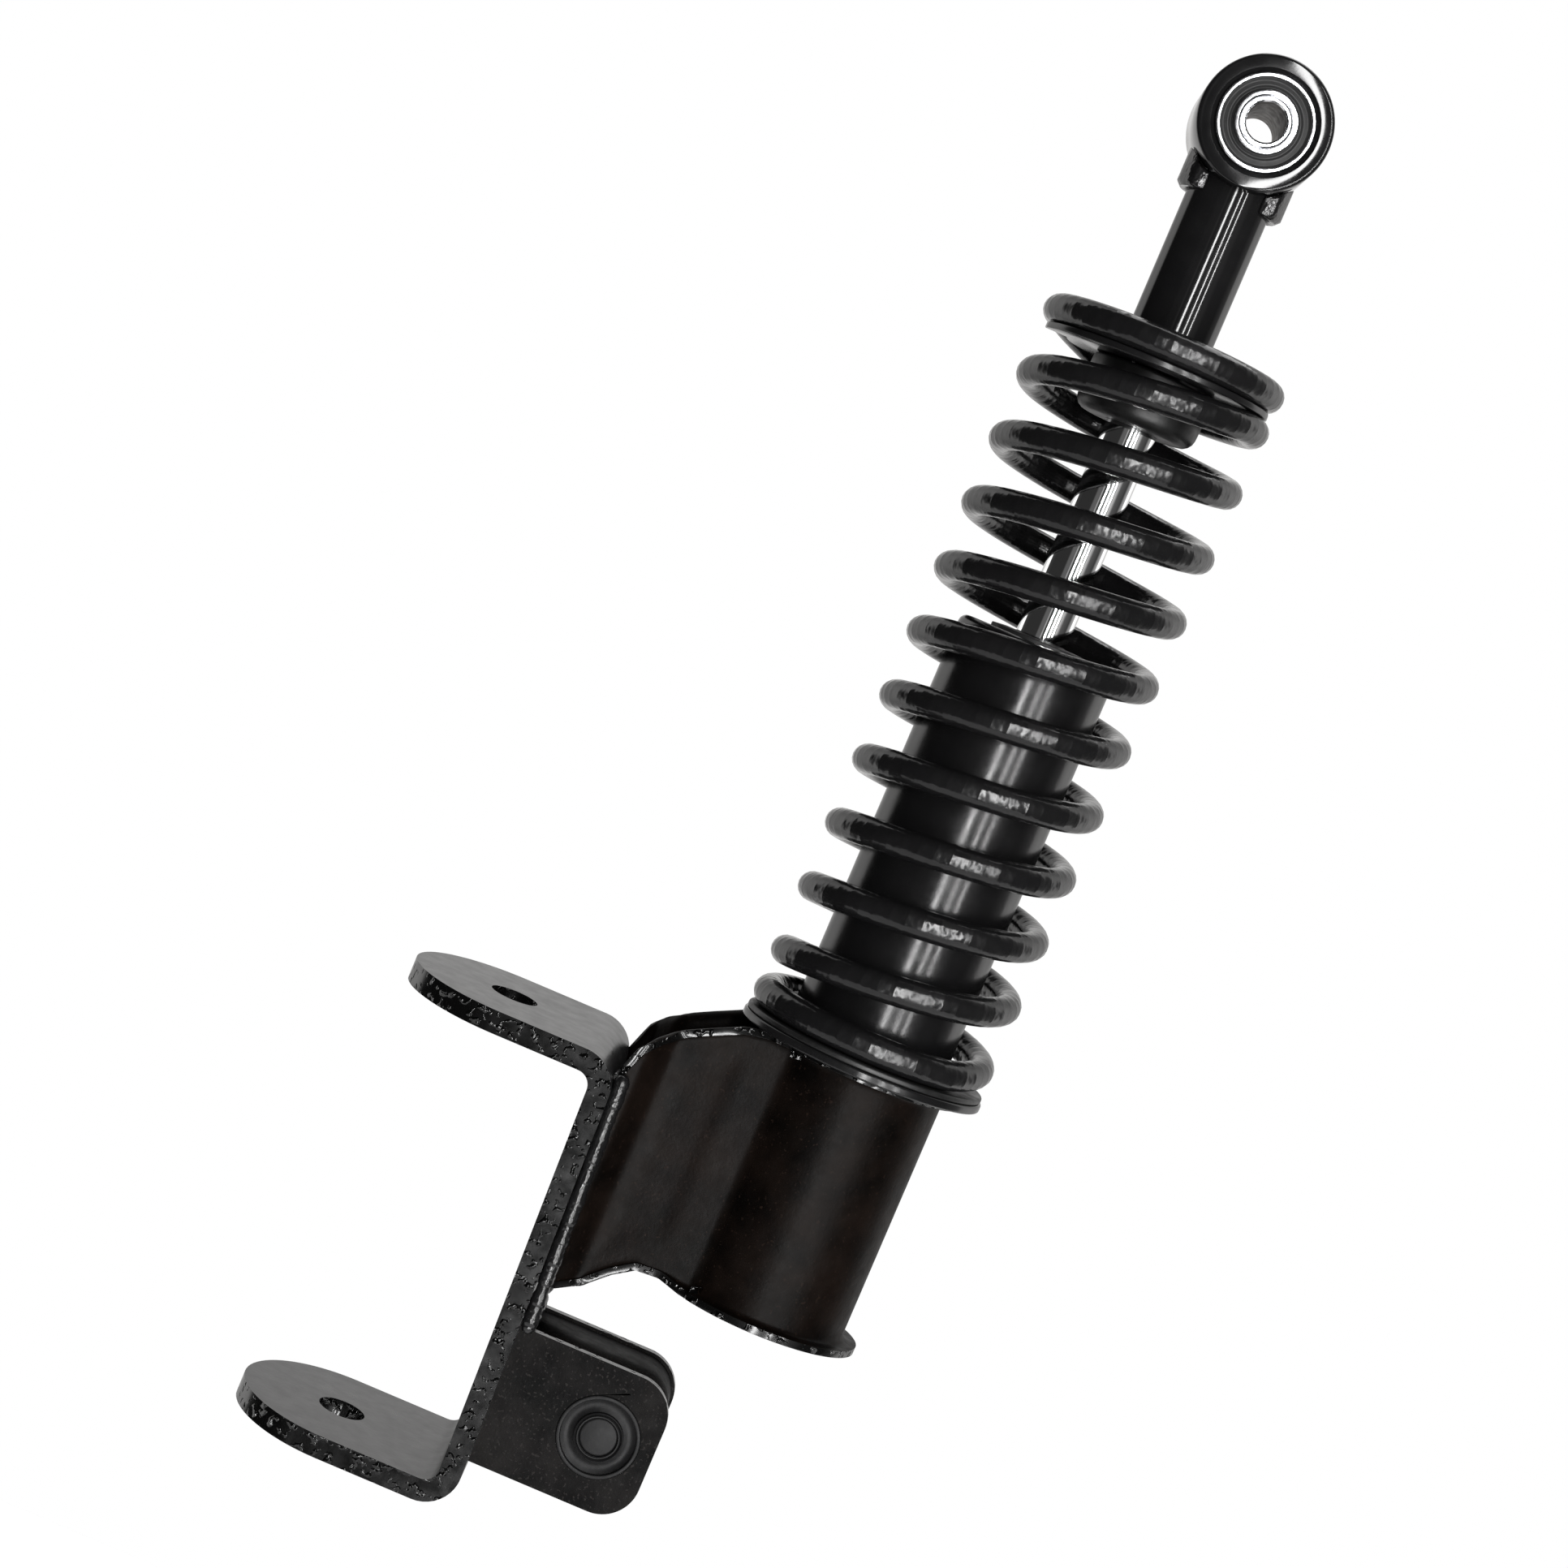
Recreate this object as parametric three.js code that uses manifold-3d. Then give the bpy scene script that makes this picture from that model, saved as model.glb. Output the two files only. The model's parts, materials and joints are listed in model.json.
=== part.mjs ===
// Suspension strut assembly: a coil-over damper whose body sits in a pressed saddle, with a bent
// king-pin bracket and a rubber-bushed pivot box welded to it.
//
// Frame: millimetres, origin at the centre of the upper eye, +Z up along the strut, +Y along the
// eye's bore and the king-pin bracket on the -X side. The strut is fully extended.

import * as THREE from "three";
import { mergeVertices } from "three/addons/utils/BufferGeometryUtils.js";
import Module from "manifold-3d";

const wasm = await Module();
wasm.setup();

// ---------------------------------------------------------------- driving dimensions

const GAP = 0.3; // clearance between pieces that fit together
const PAST = 5; // how far a cutting solid runs past what it cuts
const SIDES = 28; // facets round a turned piece
const FINE = 20; // facets round a small turned piece

const eye = { radius: 17.7, wall: 4.6, halfWidth: 16.5 };
const eyeBush = { shellWall: 1.1, shellProud: 0.4, rubberRecess: 0.8 };
const eyeSleeve = { radius: 8.2, bore: 5.2, halfLength: 18 };
const lug = { wall: 3, top: -10, height: 11, corner: 1.2, halfDepth: 9 };

const tube = { radius: 11.3, wall: 2.1, bottom: -66.5 };
const anchor = { top: -39, height: 8.7 };
const upperSeat = { pastWire: 1.9, thickness: 1.8, bore: 7.5, weld: 2.4 };
const bumpStop = { radius: 16.9, height: 14.8, corner: 3.5, cup: 1.6, cupRadius: 12 };

const rod = { radius: 7, topStud: 5, bottomStud: 5, bottomStudLength: 25 };
const travel = 60; // from full extension to the bump stop touching the wiper

const spring = { roundDamper: 3.65, wire: 8.1, pitch: 18.25, activeTurns: 10, lead: 0.06, tail: 0.65 };
const springMesh = { stepsPerTurn: 16, sides: 8 };
const settle = { top: 1.45, bottom: 2.55 };
const crossing = { start: 0.52, end: 0.82, settled: 1.2, margin: 0.035 };

const isolator = { thickness: 1.7, width: 7.6 };
const lowerSeat = { pastSpring: 0.15, thickness: 2.1, rim: 6, rimWall: 2.2 };

const damper = { radius: 22, wall: 1.8, lipRadius: 14 };
const wiper = { stand: 1.4, foot: 1.8 };
const seal = { height: 4.3 };
const guide = { flange: 9.4, spigot: 3.8, bushWall: 1.25 };
const pressureTube = { bore: 14.5, wall: 1.5 };
const rebound = { bumper: 6.8, ring: 3, radius: 11.8 };
const piston = { height: 12, groove: 1.5, bandHeight: 5, shims: 2, shimRadius: 12 };
const port = { radius: 1.5, circle: 9.2, count: 4 };
const nut = { acrossFlats: 15, height: 6.2 };
const baseValve = { flange: 3, plug: 7, disc: 1.2, discRadius: 12 };
const baseCap = { height: 8.7, floor: 3.2, wall: 2.4 };

const saddle = { sheet: 2, height: 71, flange: 4.6, flangeThickness: 2.8, flangeReach: -14 };
const leg = { y: 16, kneeX: -47, footX: -52.5, footY: 23, tongue: 11, bottomX: -28 };
const legTop = { startX: -27, kneeX: -50, kneeDrop: 11.3, footX: -54, footDrop: 15.5, endDrop: 23 };

const plate = { thickness: 6, width: 55.6, bend: 4, holeX: -91, holeRadius: 6.5, tilt: 2.4 };
const ears = { drop: 19, underBox: 5.8 };
const web = { topX: -63.6, bottomX: -60 };

const box = { drop: 25.5, height: 38.6, right: -9.9, halfWidth: 17, corner: 10.5 };
const boxPlate = { cheek: 3, strap: 3, inset: 0.8 };
const pivot = { x: -25.2, shellRadius: 11.2, shellWall: 1.1, sleeveRadius: 6.6, sleeveBore: 5.2 };
const pivotBush = { shellProud: 0.5, rubberRecess: 1.2, plugDepth: 6, plugRecess: 0.5 };
const bead = { radius: 2.2, sides: 8 };

// ---------------------------------------------------------------- levels worked out from them

const wireRadius = spring.wire / 2;
const coilRadius = damper.radius + spring.roundDamper + wireRadius; // to the wire's centre
const upperSeatRadius = coilRadius + upperSeat.pastWire;
const lowerSeatRadius = coilRadius + wireRadius + lowerSeat.pastSpring;

const seatTop = tube.bottom - GAP;
const seatUnder = seatTop - upperSeat.thickness;
const bumpTop = seatUnder - GAP;
const bumpBottom = bumpTop - bumpStop.height;

const clipHeight = seatTop + GAP + wireRadius; // wire lying on the seat plate
const underHeight = seatUnder - GAP - wireRadius; // wire pressed against its underside
const firstActive = underHeight + settle.top;
const lastActive = firstActive - spring.pitch * spring.activeTurns;
const footHeight = lastActive - settle.bottom;

const isolatorTop = footHeight - wireRadius - GAP;
const lowerSeatTop = isolatorTop - isolator.thickness - GAP;
const lowerSeatBottom = lowerSeatTop - lowerSeat.thickness;
const saddleTop = lowerSeatBottom - GAP;
const saddleBottom = saddleTop - saddle.height;

const wiperTop = bumpBottom - travel;
const damperTop = wiperTop - wiper.stand;
const damperBottom = saddleBottom + 1.2;
const damperBore = damper.radius - damper.wall;
const insideRadius = damperBore - GAP;
const rodClear = rod.radius + GAP;

const wiperBottom = damperTop - damper.wall - GAP - wiper.foot;
const sealTop = wiperBottom - GAP;
const guideTop = sealTop - seal.height - GAP;
const flangeBottom = guideTop - guide.flange;
const guideBottom = flangeBottom - guide.spigot;
const bushBore = rodClear + guide.bushWall;

const bumperTop = guideBottom - GAP;
const stopRingTop = bumperTop - rebound.bumper - GAP;
const rodShoulder = stopRingTop - rebound.ring;
const upperShimsTop = rodShoulder - GAP;
const pistonTop = upperShimsTop - piston.shims - GAP;
const lowerShimsTop = pistonTop - piston.height - GAP;
const nutTop = lowerShimsTop - piston.shims - GAP;

const capBottom = damperBottom + GAP;
const valveBottom = capBottom + baseCap.height + GAP;
const pressureBottom = valveBottom + baseValve.flange + GAP;

const boxTop = saddleBottom - box.drop;
const boxBottom = boxTop - box.height;
const pivotHeight = (boxTop + boxBottom) / 2;
const upperEarTop = saddleTop - ears.drop;
const lowerEarTop = boxBottom - ears.underBox;

// ---------------------------------------------------------------- finishes

const finishes = {
  glossBlack: { color: 0x0c0c0d, roughness: 0.2, metalness: 0.1 },
  satinBlack: { color: 0x121111, roughness: 0.45, metalness: 0.1 },
  weldBlack: { color: 0x151516, roughness: 0.35, metalness: 0.2 },
  chrome: { color: 0xd6d8da, roughness: 0.08, metalness: 1 },
  zincSteel: { color: 0xb9bcc0, roughness: 0.3, metalness: 1 },
  rubber: { color: 0x141414, roughness: 0.75, metalness: 0 },
  plastic: { color: 0x18181a, roughness: 0.55, metalness: 0 },
  steel: { color: 0x8f9296, roughness: 0.4, metalness: 1 },
  bronze: { color: 0x9a7440, roughness: 0.35, metalness: 1 },
};

// ---------------------------------------------------------------- helpers

// A closed geometry as a solid that can be cut and joined.
function solidOf(geometry) {
  const bare = geometry.index ? geometry.toNonIndexed() : geometry.clone();
  bare.deleteAttribute("normal");
  bare.deleteAttribute("uv");
  const merged = mergeVertices(bare, 1e-4);
  return new wasm.Manifold(
    new wasm.Mesh({
      numProp: 3,
      vertProperties: merged.attributes.position.array,
      triVerts: new Uint32Array(merged.index.array),
    }),
  );
}

function geometryOf(solid) {
  const mesh = solid.getMesh();
  return new THREE.BufferGeometry()
    .setAttribute("position", new THREE.BufferAttribute(mesh.vertProperties, 3))
    .setIndex(new THREE.BufferAttribute(mesh.triVerts, 1))
    .toNonIndexed();
}

// A solid of revolution about Y from a loop of [radius, height]; the loop may touch the axis.
function turnedY(loop, sides = SIDES) {
  const points = loop.map(([radius, height]) => new THREE.Vector2(radius, height));
  if (THREE.ShapeUtils.area(points) < 0) points.reverse();
  const onAxis = points.findIndex((point, i) => point.x === 0 && points.at(i - 1).x === 0);
  if (onAxis >= 0) points.push(...points.splice(0, onAxis));
  else points.push(points[0].clone());
  return new THREE.LatheGeometry(points, sides);
}

// The same about Z, with its low end first.
const turnedZ = (loop, sides = SIDES) => turnedY(loop, sides).rotateX(Math.PI / 2);

// A ring's section, from its two radii and its two ends.
const ring = (inner, outer, low, high) => [
  [inner, low],
  [outer, low],
  [outer, high],
  [inner, high],
];

// A flat outline of [x, y] points raised along +Z.
function raised(outline, low, high) {
  const shape = new THREE.Shape(outline.map(([x, y]) => new THREE.Vector2(x, y)));
  const geometry = new THREE.ExtrudeGeometry(shape, { depth: high - low, bevelEnabled: false });
  return geometry.translate(0, 0, low);
}

// A side outline of [x, z] points carried from one Y to another.
const widened = (outline, near, far) => raised(outline, -far, -near).rotateX(Math.PI / 2);

// Points on an arc between two angles in degrees.
function arc(cx, cy, radius, from, to, steps) {
  return Array.from({ length: steps + 1 }, (_, i) => {
    const angle = THREE.MathUtils.degToRad(from + ((to - from) * i) / steps);
    return [cx + radius * Math.cos(angle), cy + radius * Math.sin(angle)];
  });
}

// A corner rounded with the given radius, as points from the first side to the second.
function rounded(before, corner, after, radius, steps = 5) {
  const [a, c, b] = [before, corner, after].map(([x, y]) => new THREE.Vector2(x, y));
  const [toA, toB] = [a.sub(c).normalize(), b.sub(c).normalize()];
  const half = Math.acos(THREE.MathUtils.clamp(toA.dot(toB), -1, 1)) / 2;
  const centre = toA.clone().add(toB).normalize().multiplyScalar(radius / Math.sin(half)).add(c);
  const reach = radius / Math.tan(half);
  const start = toA.multiplyScalar(reach).add(c).sub(centre);
  const end = toB.multiplyScalar(reach).add(c).sub(centre);
  const turn = Math.atan2(start.cross(end), start.dot(end));
  return Array.from({ length: steps + 1 }, (_, i) => {
    const point = start.clone().rotateAround(new THREE.Vector2(), (turn * i) / steps).add(centre);
    return [point.x, point.y];
  });
}

// The outline of a sheet that follows a line of points, spread to the left and right of it.
function strip(line, left, right) {
  const side = (offset) =>
    line.map(([x, y], i) => {
      const [x0, y0] = line[Math.max(i - 1, 0)];
      const [x1, y1] = line[Math.min(i + 1, line.length - 1)];
      const before = new THREE.Vector2(x - x0, y - y0).normalize();
      const after = new THREE.Vector2(x1 - x, y1 - y).normalize();
      const along = before.clone().add(after).normalize();
      const stretch = 1 / Math.max(along.dot(i > 0 ? before : after), 0.3);
      return [x - along.y * offset * stretch, y + along.x * offset * stretch];
    });
  return [...side(left), ...side(-right).reverse()];
}

// A weld bead: a domed rod between two points.
function weldBead(from, to, radius = bead.radius) {
  const [start, end] = [from, to].map((point) => new THREE.Vector3(...point));
  const path = end.clone().sub(start);
  const tilt = new THREE.Quaternion().setFromUnitVectors(
    new THREE.Vector3(0, 1, 0),
    path.clone().normalize(),
  );
  const middle = start.add(end).multiplyScalar(0.5);
  return new THREE.CapsuleGeometry(radius, path.length(), 2, bead.sides)
    .applyQuaternion(tilt)
    .translate(middle.x, middle.y, middle.z);
}

// A set of equal round holes, as cutting solids standing on a circle about the strut's axis.
function portCutters(low, high) {
  return Array.from({ length: port.count }, (_, i) => {
    const angle = (2 * Math.PI * (i + 0.5)) / port.count;
    const cutter = turnedZ(
      [
        [0, low],
        [port.radius, low],
        [port.radius, high],
        [0, high],
      ],
      12,
    );
    return solidOf(
      cutter.translate(port.circle * Math.cos(angle), port.circle * Math.sin(angle), 0),
    );
  });
}

const withPorts = (geometry, low, high) =>
  geometryOf(portCutters(low, high).reduce((solid, cut) => solid.subtract(cut), solidOf(geometry)));

// A hexagon nut about Z, with a plain bore.
function hexNut(bore, low, high) {
  const corner = nut.acrossFlats / Math.sqrt(3);
  const hex = raised(arc(0, 0, corner, 0, 300, 5), low, high);
  const hole = turnedZ(
    [
      [0, low - PAST],
      [bore, low - PAST],
      [bore, high + PAST],
      [0, high + PAST],
    ],
    FINE,
  );
  return geometryOf(solidOf(hex).subtract(solidOf(hole)));
}

function part(name, geometry, finish) {
  const made = new THREE.Mesh(geometry, new THREE.MeshStandardMaterial(finishes[finish]));
  made.name = name;
  return made;
}

// ---------------------------------------------------------------- upper eye and its bush

const eyeBore = eye.radius - eye.wall;
const shellOuter = eyeBore - GAP;
const shellHalf = eye.halfWidth + eyeBush.shellProud;
const rubberOuter = shellOuter - eyeBush.shellWall - GAP;
const rubberHalf = eye.halfWidth - eyeBush.rubberRecess;

const makeEye = () => [
  part("eye_ring", turnedY(ring(eyeBore, eye.radius, -eye.halfWidth, eye.halfWidth)), "glossBlack"),
  part(
    "eye_bush_shell",
    turnedY(ring(shellOuter - eyeBush.shellWall, shellOuter, -shellHalf, shellHalf)),
    "zincSteel",
  ),
  part(
    "eye_rubber",
    turnedY(ring(eyeSleeve.radius + GAP, rubberOuter, -rubberHalf, rubberHalf)),
    "rubber",
  ),
];

const makeEyeSleeve = () => [
  part(
    "eye_sleeve",
    turnedY(ring(eyeSleeve.bore, eyeSleeve.radius, -eyeSleeve.halfLength, eyeSleeve.halfLength)),
    "zincSteel",
  ),
];

// The round space the tube and its lugs are cut back to, where the eye sits on them.
function eyeSpace() {
  const half = eye.halfWidth + PAST;
  const radius = eye.radius + GAP;
  return solidOf(
    turnedY([
      [0, -half],
      [radius, -half],
      [radius, half],
      [0, half],
    ]),
  );
}

// ---------------------------------------------------------------- extension tube, its lugs and upper seat

function makeTube() {
  const bore = tube.radius - tube.wall;
  const blank = turnedZ(ring(bore, tube.radius, tube.bottom, lug.top));
  const lugInner = tube.radius + GAP;
  const lugOuter = lugInner + lug.wall;
  const lugBottom = lug.top - lug.height;
  const lugRing = solidOf(
    turnedZ([
      [lugInner, lugBottom],
      [lugOuter - lug.corner, lugBottom],
      [lugOuter, lugBottom + lug.corner],
      [lugOuter, lug.top],
      [lugInner, lug.top],
    ]),
  );
  const lugOn = (side) => {
    const [near, far] = side < 0 ? [-lugOuter - PAST, 0] : [0, lugOuter + PAST];
    const zone = [
      [near, lugBottom - PAST],
      [far, lugBottom - PAST],
      [far, PAST],
      [near, PAST],
    ];
    const half = solidOf(widened(zone, -lug.halfDepth, lug.halfDepth));
    return geometryOf(lugRing.intersect(half).subtract(eyeSpace()));
  };
  const anchorRing = ring(rod.topStud + GAP, bore - GAP, anchor.top - anchor.height, anchor.top);
  const nutBottom = anchor.top + GAP;
  return [
    part("upper_tube", geometryOf(solidOf(blank).subtract(eyeSpace())), "glossBlack"),
    part("eye_left_lug", lugOn(-1), "glossBlack"),
    part("eye_right_lug", lugOn(1), "glossBlack"),
    part("rod_anchor", turnedZ(anchorRing), "steel"),
    part("rod_top_nut", hexNut(rod.topStud + GAP, nutBottom, nutBottom + nut.height), "steel"),
  ];
}

// The wire goes round clockwise seen from above as it comes down, starting on the +X side.
const turnAngle = (turn) => -360 * turn;

function makeUpperSeat() {
  const disc = solidOf(turnedZ(ring(upperSeat.bore, upperSeatRadius, seatUnder, seatTop)));
  const from = turnAngle(crossing.start - crossing.margin);
  const to = turnAngle(crossing.end + crossing.margin);
  const inner = coilRadius - wireRadius - 2 * GAP;
  const outer = upperSeatRadius + PAST;
  const notch = [...arc(0, 0, inner, to, from, 12), ...arc(0, 0, outer, from, to, 12)];
  const cut = solidOf(raised(notch, seatUnder - PAST, seatTop + PAST));
  const foot = tube.radius + GAP;
  const weld = [
    [foot, seatTop + GAP],
    [foot + upperSeat.weld, seatTop + GAP],
    [foot, seatTop + GAP + upperSeat.weld],
  ];
  return [
    part("upper_spring_seat", geometryOf(disc.subtract(cut)), "glossBlack"),
    part("seat_weld", turnedZ(weld), "weldBlack"),
  ];
}

function makeBumpStop() {
  const cupBottom = bumpTop - bumpStop.cup;
  const stopTop = cupBottom - GAP;
  const corner = bumpStop.corner;
  const stop = [
    [rodClear, bumpBottom],
    ...arc(bumpStop.radius - corner, bumpBottom + corner, corner, -90, 0, 4),
    [bumpStop.radius, stopTop],
    [rodClear, stopTop],
  ];
  return [
    part("bump_stop_washer", turnedZ(ring(rodClear, bumpStop.cupRadius, cupBottom, bumpTop)), "steel"),
    part("bump_stop", turnedZ(stop), "rubber"),
  ];
}

// ---------------------------------------------------------------- rod and piston

function makeRod() {
  const topShoulder = anchor.top - anchor.height - GAP;
  const topEnd = anchor.top + nut.height + 2;
  const bottomEnd = rodShoulder - rod.bottomStudLength;
  const shaft = turnedZ([
    [0, bottomEnd],
    [rod.bottomStud, bottomEnd],
    [rod.bottomStud, rodShoulder],
    [rod.radius, rodShoulder],
    [rod.radius, topShoulder],
    [rod.topStud, topShoulder],
    [rod.topStud, topEnd],
    [0, topEnd],
  ]);
  const studClear = rod.bottomStud + GAP;
  const outer = pressureTube.bore - GAP;
  const grooveOuter = outer - piston.groove;
  const middle = pistonTop - piston.height / 2;
  const grooveHigh = middle + piston.bandHeight / 2;
  const grooveLow = middle - piston.bandHeight / 2;
  const body = turnedZ([
    [studClear, pistonTop - piston.height],
    [outer, pistonTop - piston.height],
    [outer, grooveLow],
    [grooveOuter, grooveLow],
    [grooveOuter, grooveHigh],
    [outer, grooveHigh],
    [outer, pistonTop],
    [studClear, pistonTop],
  ]);
  const band = ring(grooveOuter + GAP, outer, grooveLow + GAP, grooveHigh - GAP);
  const stack = (top) => turnedZ(ring(studClear, piston.shimRadius, top - piston.shims, top), FINE);
  const ported = (top) => withPorts(stack(top), top - piston.shims - PAST, top + PAST);
  const bumper = ring(rodClear, rebound.radius, bumperTop - rebound.bumper, bumperTop);
  const stopRing = ring(rodClear, rebound.radius, rodShoulder, stopRingTop);
  return [
    part("piston_rod", shaft, "chrome"),
    part("rebound_bumper", turnedZ(bumper), "rubber"),
    part("rebound_stop_ring", turnedZ(stopRing), "steel"),
    part("rebound_shims", ported(upperShimsTop), "steel"),
    part("piston", withPorts(body, pistonTop - piston.height - PAST, pistonTop + PAST), "steel"),
    part("piston_band", turnedZ(band), "plastic"),
    part("compression_shims", ported(lowerShimsTop), "steel"),
    part("piston_nut", hexNut(studClear, nutTop - nut.height, nutTop), "steel"),
  ];
}

// ---------------------------------------------------------------- coil spring

const lastTurn = 1 + spring.activeTurns + spring.tail;
const eased = (from, to, share) => THREE.MathUtils.lerp(from, to, THREE.MathUtils.smoothstep(share, 0, 1));

// Height of the wire's centre after a number of turns counted downwards.
function wireHeight(turn) {
  const active = firstActive - spring.pitch * (turn - 1);
  if (turn <= crossing.start) return clipHeight;
  if (turn <= crossing.end) {
    return eased(clipHeight, underHeight, (turn - crossing.start) / (crossing.end - crossing.start));
  }
  if (turn <= crossing.settled) return Math.min(active, underHeight);
  return Math.max(active, footHeight);
}

class CoilCurve extends THREE.Curve {
  arcLengthDivisions = 4000;

  getPoint(share, target = new THREE.Vector3()) {
    const turn = THREE.MathUtils.lerp(-spring.lead, lastTurn, share);
    const angle = THREE.MathUtils.degToRad(turnAngle(turn));
    const radius = coilRadius;
    return target.set(radius * Math.cos(angle), radius * Math.sin(angle), wireHeight(turn));
  }
}

function makeSpring() {
  const wire = new THREE.Shape(
    arc(0, 0, wireRadius, 0, 360, springMesh.sides)
      .slice(0, -1)
      .map(([x, y]) => new THREE.Vector2(x, y)),
  );
  const steps = Math.round((lastTurn + spring.lead) * springMesh.stepsPerTurn);
  const coil = new THREE.ExtrudeGeometry(wire, {
    steps,
    bevelEnabled: false,
    extrudePath: new CoilCurve(),
  });
  return [part("coil_spring", coil, "glossBlack")];
}

// ---------------------------------------------------------------- lower spring seat

function makeLowerSeat() {
  const outer = coilRadius + isolator.width / 2;
  const inner = coilRadius - isolator.width / 2;
  const rimInner = damper.radius + 2 * GAP;
  const rimTop = lowerSeatTop + lowerSeat.rim;
  const seat = [
    [rimInner, lowerSeatBottom],
    [lowerSeatRadius, lowerSeatBottom],
    [lowerSeatRadius, lowerSeatTop],
    [rimInner + lowerSeat.rimWall, lowerSeatTop],
    [rimInner + lowerSeat.rimWall, rimTop],
    [rimInner, rimTop],
  ];
  return [
    part("lower_spring_seat", turnedZ(seat), "glossBlack"),
    part(
      "lower_seat_isolator",
      turnedZ(ring(inner, outer, isolatorTop - isolator.thickness, isolatorTop)),
      "rubber",
    ),
  ];
}

// ---------------------------------------------------------------- damper

function makeDamper() {
  const tubeLoop = [
    [damperBore, damperBottom],
    [damper.radius, damperBottom],
    [damper.radius, damperTop],
    [damper.lipRadius, damperTop],
    [damper.lipRadius, damperTop - damper.wall],
    [damperBore, damperTop - damper.wall],
  ];
  const wiperLip = damper.lipRadius - GAP;
  const wiperLoop = [
    [rodClear, wiperBottom],
    [insideRadius, wiperBottom],
    [insideRadius, wiperBottom + wiper.foot],
    [wiperLip, wiperBottom + wiper.foot],
    [wiperLip, wiperTop],
    [rodClear, wiperTop],
  ];
  const guideBore = bushBore + GAP;
  const plugRadius = pressureTube.bore - GAP;
  const guideLoop = [
    [guideBore, guideBottom],
    [plugRadius, guideBottom],
    [plugRadius, flangeBottom],
    [insideRadius, flangeBottom],
    [insideRadius, guideTop],
    [guideBore, guideTop],
  ];
  const tubeOuter = pressureTube.bore + pressureTube.wall;
  const pressure = ring(pressureTube.bore, tubeOuter, pressureBottom, flangeBottom - GAP);
  const valveTop = pressureBottom - GAP + baseValve.plug;
  const valveLoop = [
    [0, valveBottom],
    [insideRadius, valveBottom],
    [insideRadius, pressureBottom - GAP],
    [plugRadius, pressureBottom - GAP],
    [plugRadius, valveTop],
    [0, valveTop],
  ];
  const capTop = capBottom + baseCap.height;
  const capLoop = [
    [0, capBottom],
    [insideRadius, capBottom],
    [insideRadius, capTop],
    [insideRadius - baseCap.wall, capTop],
    [insideRadius - baseCap.wall, capBottom + baseCap.floor],
    [0, capBottom + baseCap.floor],
  ];
  const discBottom = valveTop + GAP;
  const discLoop = [
    [0, discBottom],
    [baseValve.discRadius, discBottom],
    [baseValve.discRadius, discBottom + baseValve.disc],
    [0, discBottom + baseValve.disc],
  ];
  return [
    part("damper_tube", turnedZ(tubeLoop), "glossBlack"),
    part("dust_wiper", turnedZ(wiperLoop), "rubber"),
    part("oil_seal", turnedZ(ring(rodClear, insideRadius, sealTop - seal.height, sealTop)), "rubber"),
    part("rod_guide", turnedZ(guideLoop), "steel"),
    part("guide_bush", turnedZ(ring(rodClear, bushBore, guideBottom, guideTop)), "bronze"),
    part("pressure_tube", turnedZ(pressure), "steel"),
    part("base_valve", withPorts(turnedZ(valveLoop), valveBottom - PAST, valveTop + PAST), "steel"),
    part("base_valve_disc", turnedZ(discLoop, FINE), "steel"),
    part("base_cap", turnedZ(capLoop), "steel"),
  ];
}

// ---------------------------------------------------------------- saddle bracket

// X of the web's two faces at a height; the web leans a little.
function webFace(height, depth = 0) {
  const share = (upperEarTop - height) / (upperEarTop - lowerEarTop);
  return THREE.MathUtils.lerp(web.topX, web.bottomX, share) + depth;
}

// The saddle's sheet seen from above: round the back of the tube, then out to the bracket.
function saddleLine() {
  const inner = damper.radius + GAP;
  const radius = inner + saddle.sheet / 2;
  const reach = THREE.MathUtils.radToDeg(Math.asin(leg.y / radius));
  const creaseX = radius * Math.cos(THREE.MathUtils.degToRad(180 - reach));
  const bends = [
    [creaseX, leg.y],
    [creaseX - 5, leg.y - 0.2],
    [leg.kneeX, leg.y],
    [leg.footX, leg.footY],
    [webFace(saddleTop) + plate.thickness - PAST, leg.footY + 0.2],
  ];
  const upper = bends.slice(1);
  const mirrored = upper.map(([x, y]) => [x, -y]).reverse();
  return [...mirrored, ...arc(0, 0, radius, -180 + reach, 180 - reach, 34), ...upper];
}

function makeSaddle() {
  const half = saddle.sheet / 2;
  const line = saddleLine();
  const low = saddleBottom - leg.tongue;
  const sheet = solidOf(raised(strip(line, half, half), low, saddleTop));
  const inner = damper.radius + GAP;
  const outer = inner + saddle.sheet + saddle.flange;
  const far = webFace(saddleTop) - PAST;
  const keep = (height) => webFace(height, plate.thickness + GAP);
  const endTop = saddleTop - legTop.endDrop;
  const side = widened(
    [
      [outer + PAST, saddleTop + PAST],
      [legTop.startX, saddleTop + PAST],
      [legTop.startX, saddleTop],
      [legTop.kneeX, saddleTop - legTop.kneeDrop],
      [legTop.footX, saddleTop - legTop.footDrop],
      [keep(endTop), endTop],
      [keep(low), low],
      [leg.kneeX + 4, low],
      [leg.bottomX - 6, saddleBottom - 1],
      [leg.bottomX, saddleBottom],
      [outer + PAST, saddleBottom],
    ],
    far,
    -far,
  );
  const flange = (level) => {
    const disc = solidOf(turnedZ(ring(inner, outer, level, level + saddle.flangeThickness)));
    const zone = [
      [outer + PAST, -outer - PAST],
      [outer + PAST, outer + PAST],
      [saddle.flangeReach, outer + PAST],
      [saddle.flangeReach, -outer - PAST],
    ];
    return disc.intersect(solidOf(raised(zone, level - PAST, level + PAST + PAST)));
  };
  const body = sheet
    .intersect(solidOf(side))
    .add(flange(saddleBottom))
    .add(flange(saddleTop - saddle.flangeThickness));
  return [part("saddle_bracket", geometryOf(body), "satinBlack")];
}

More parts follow.
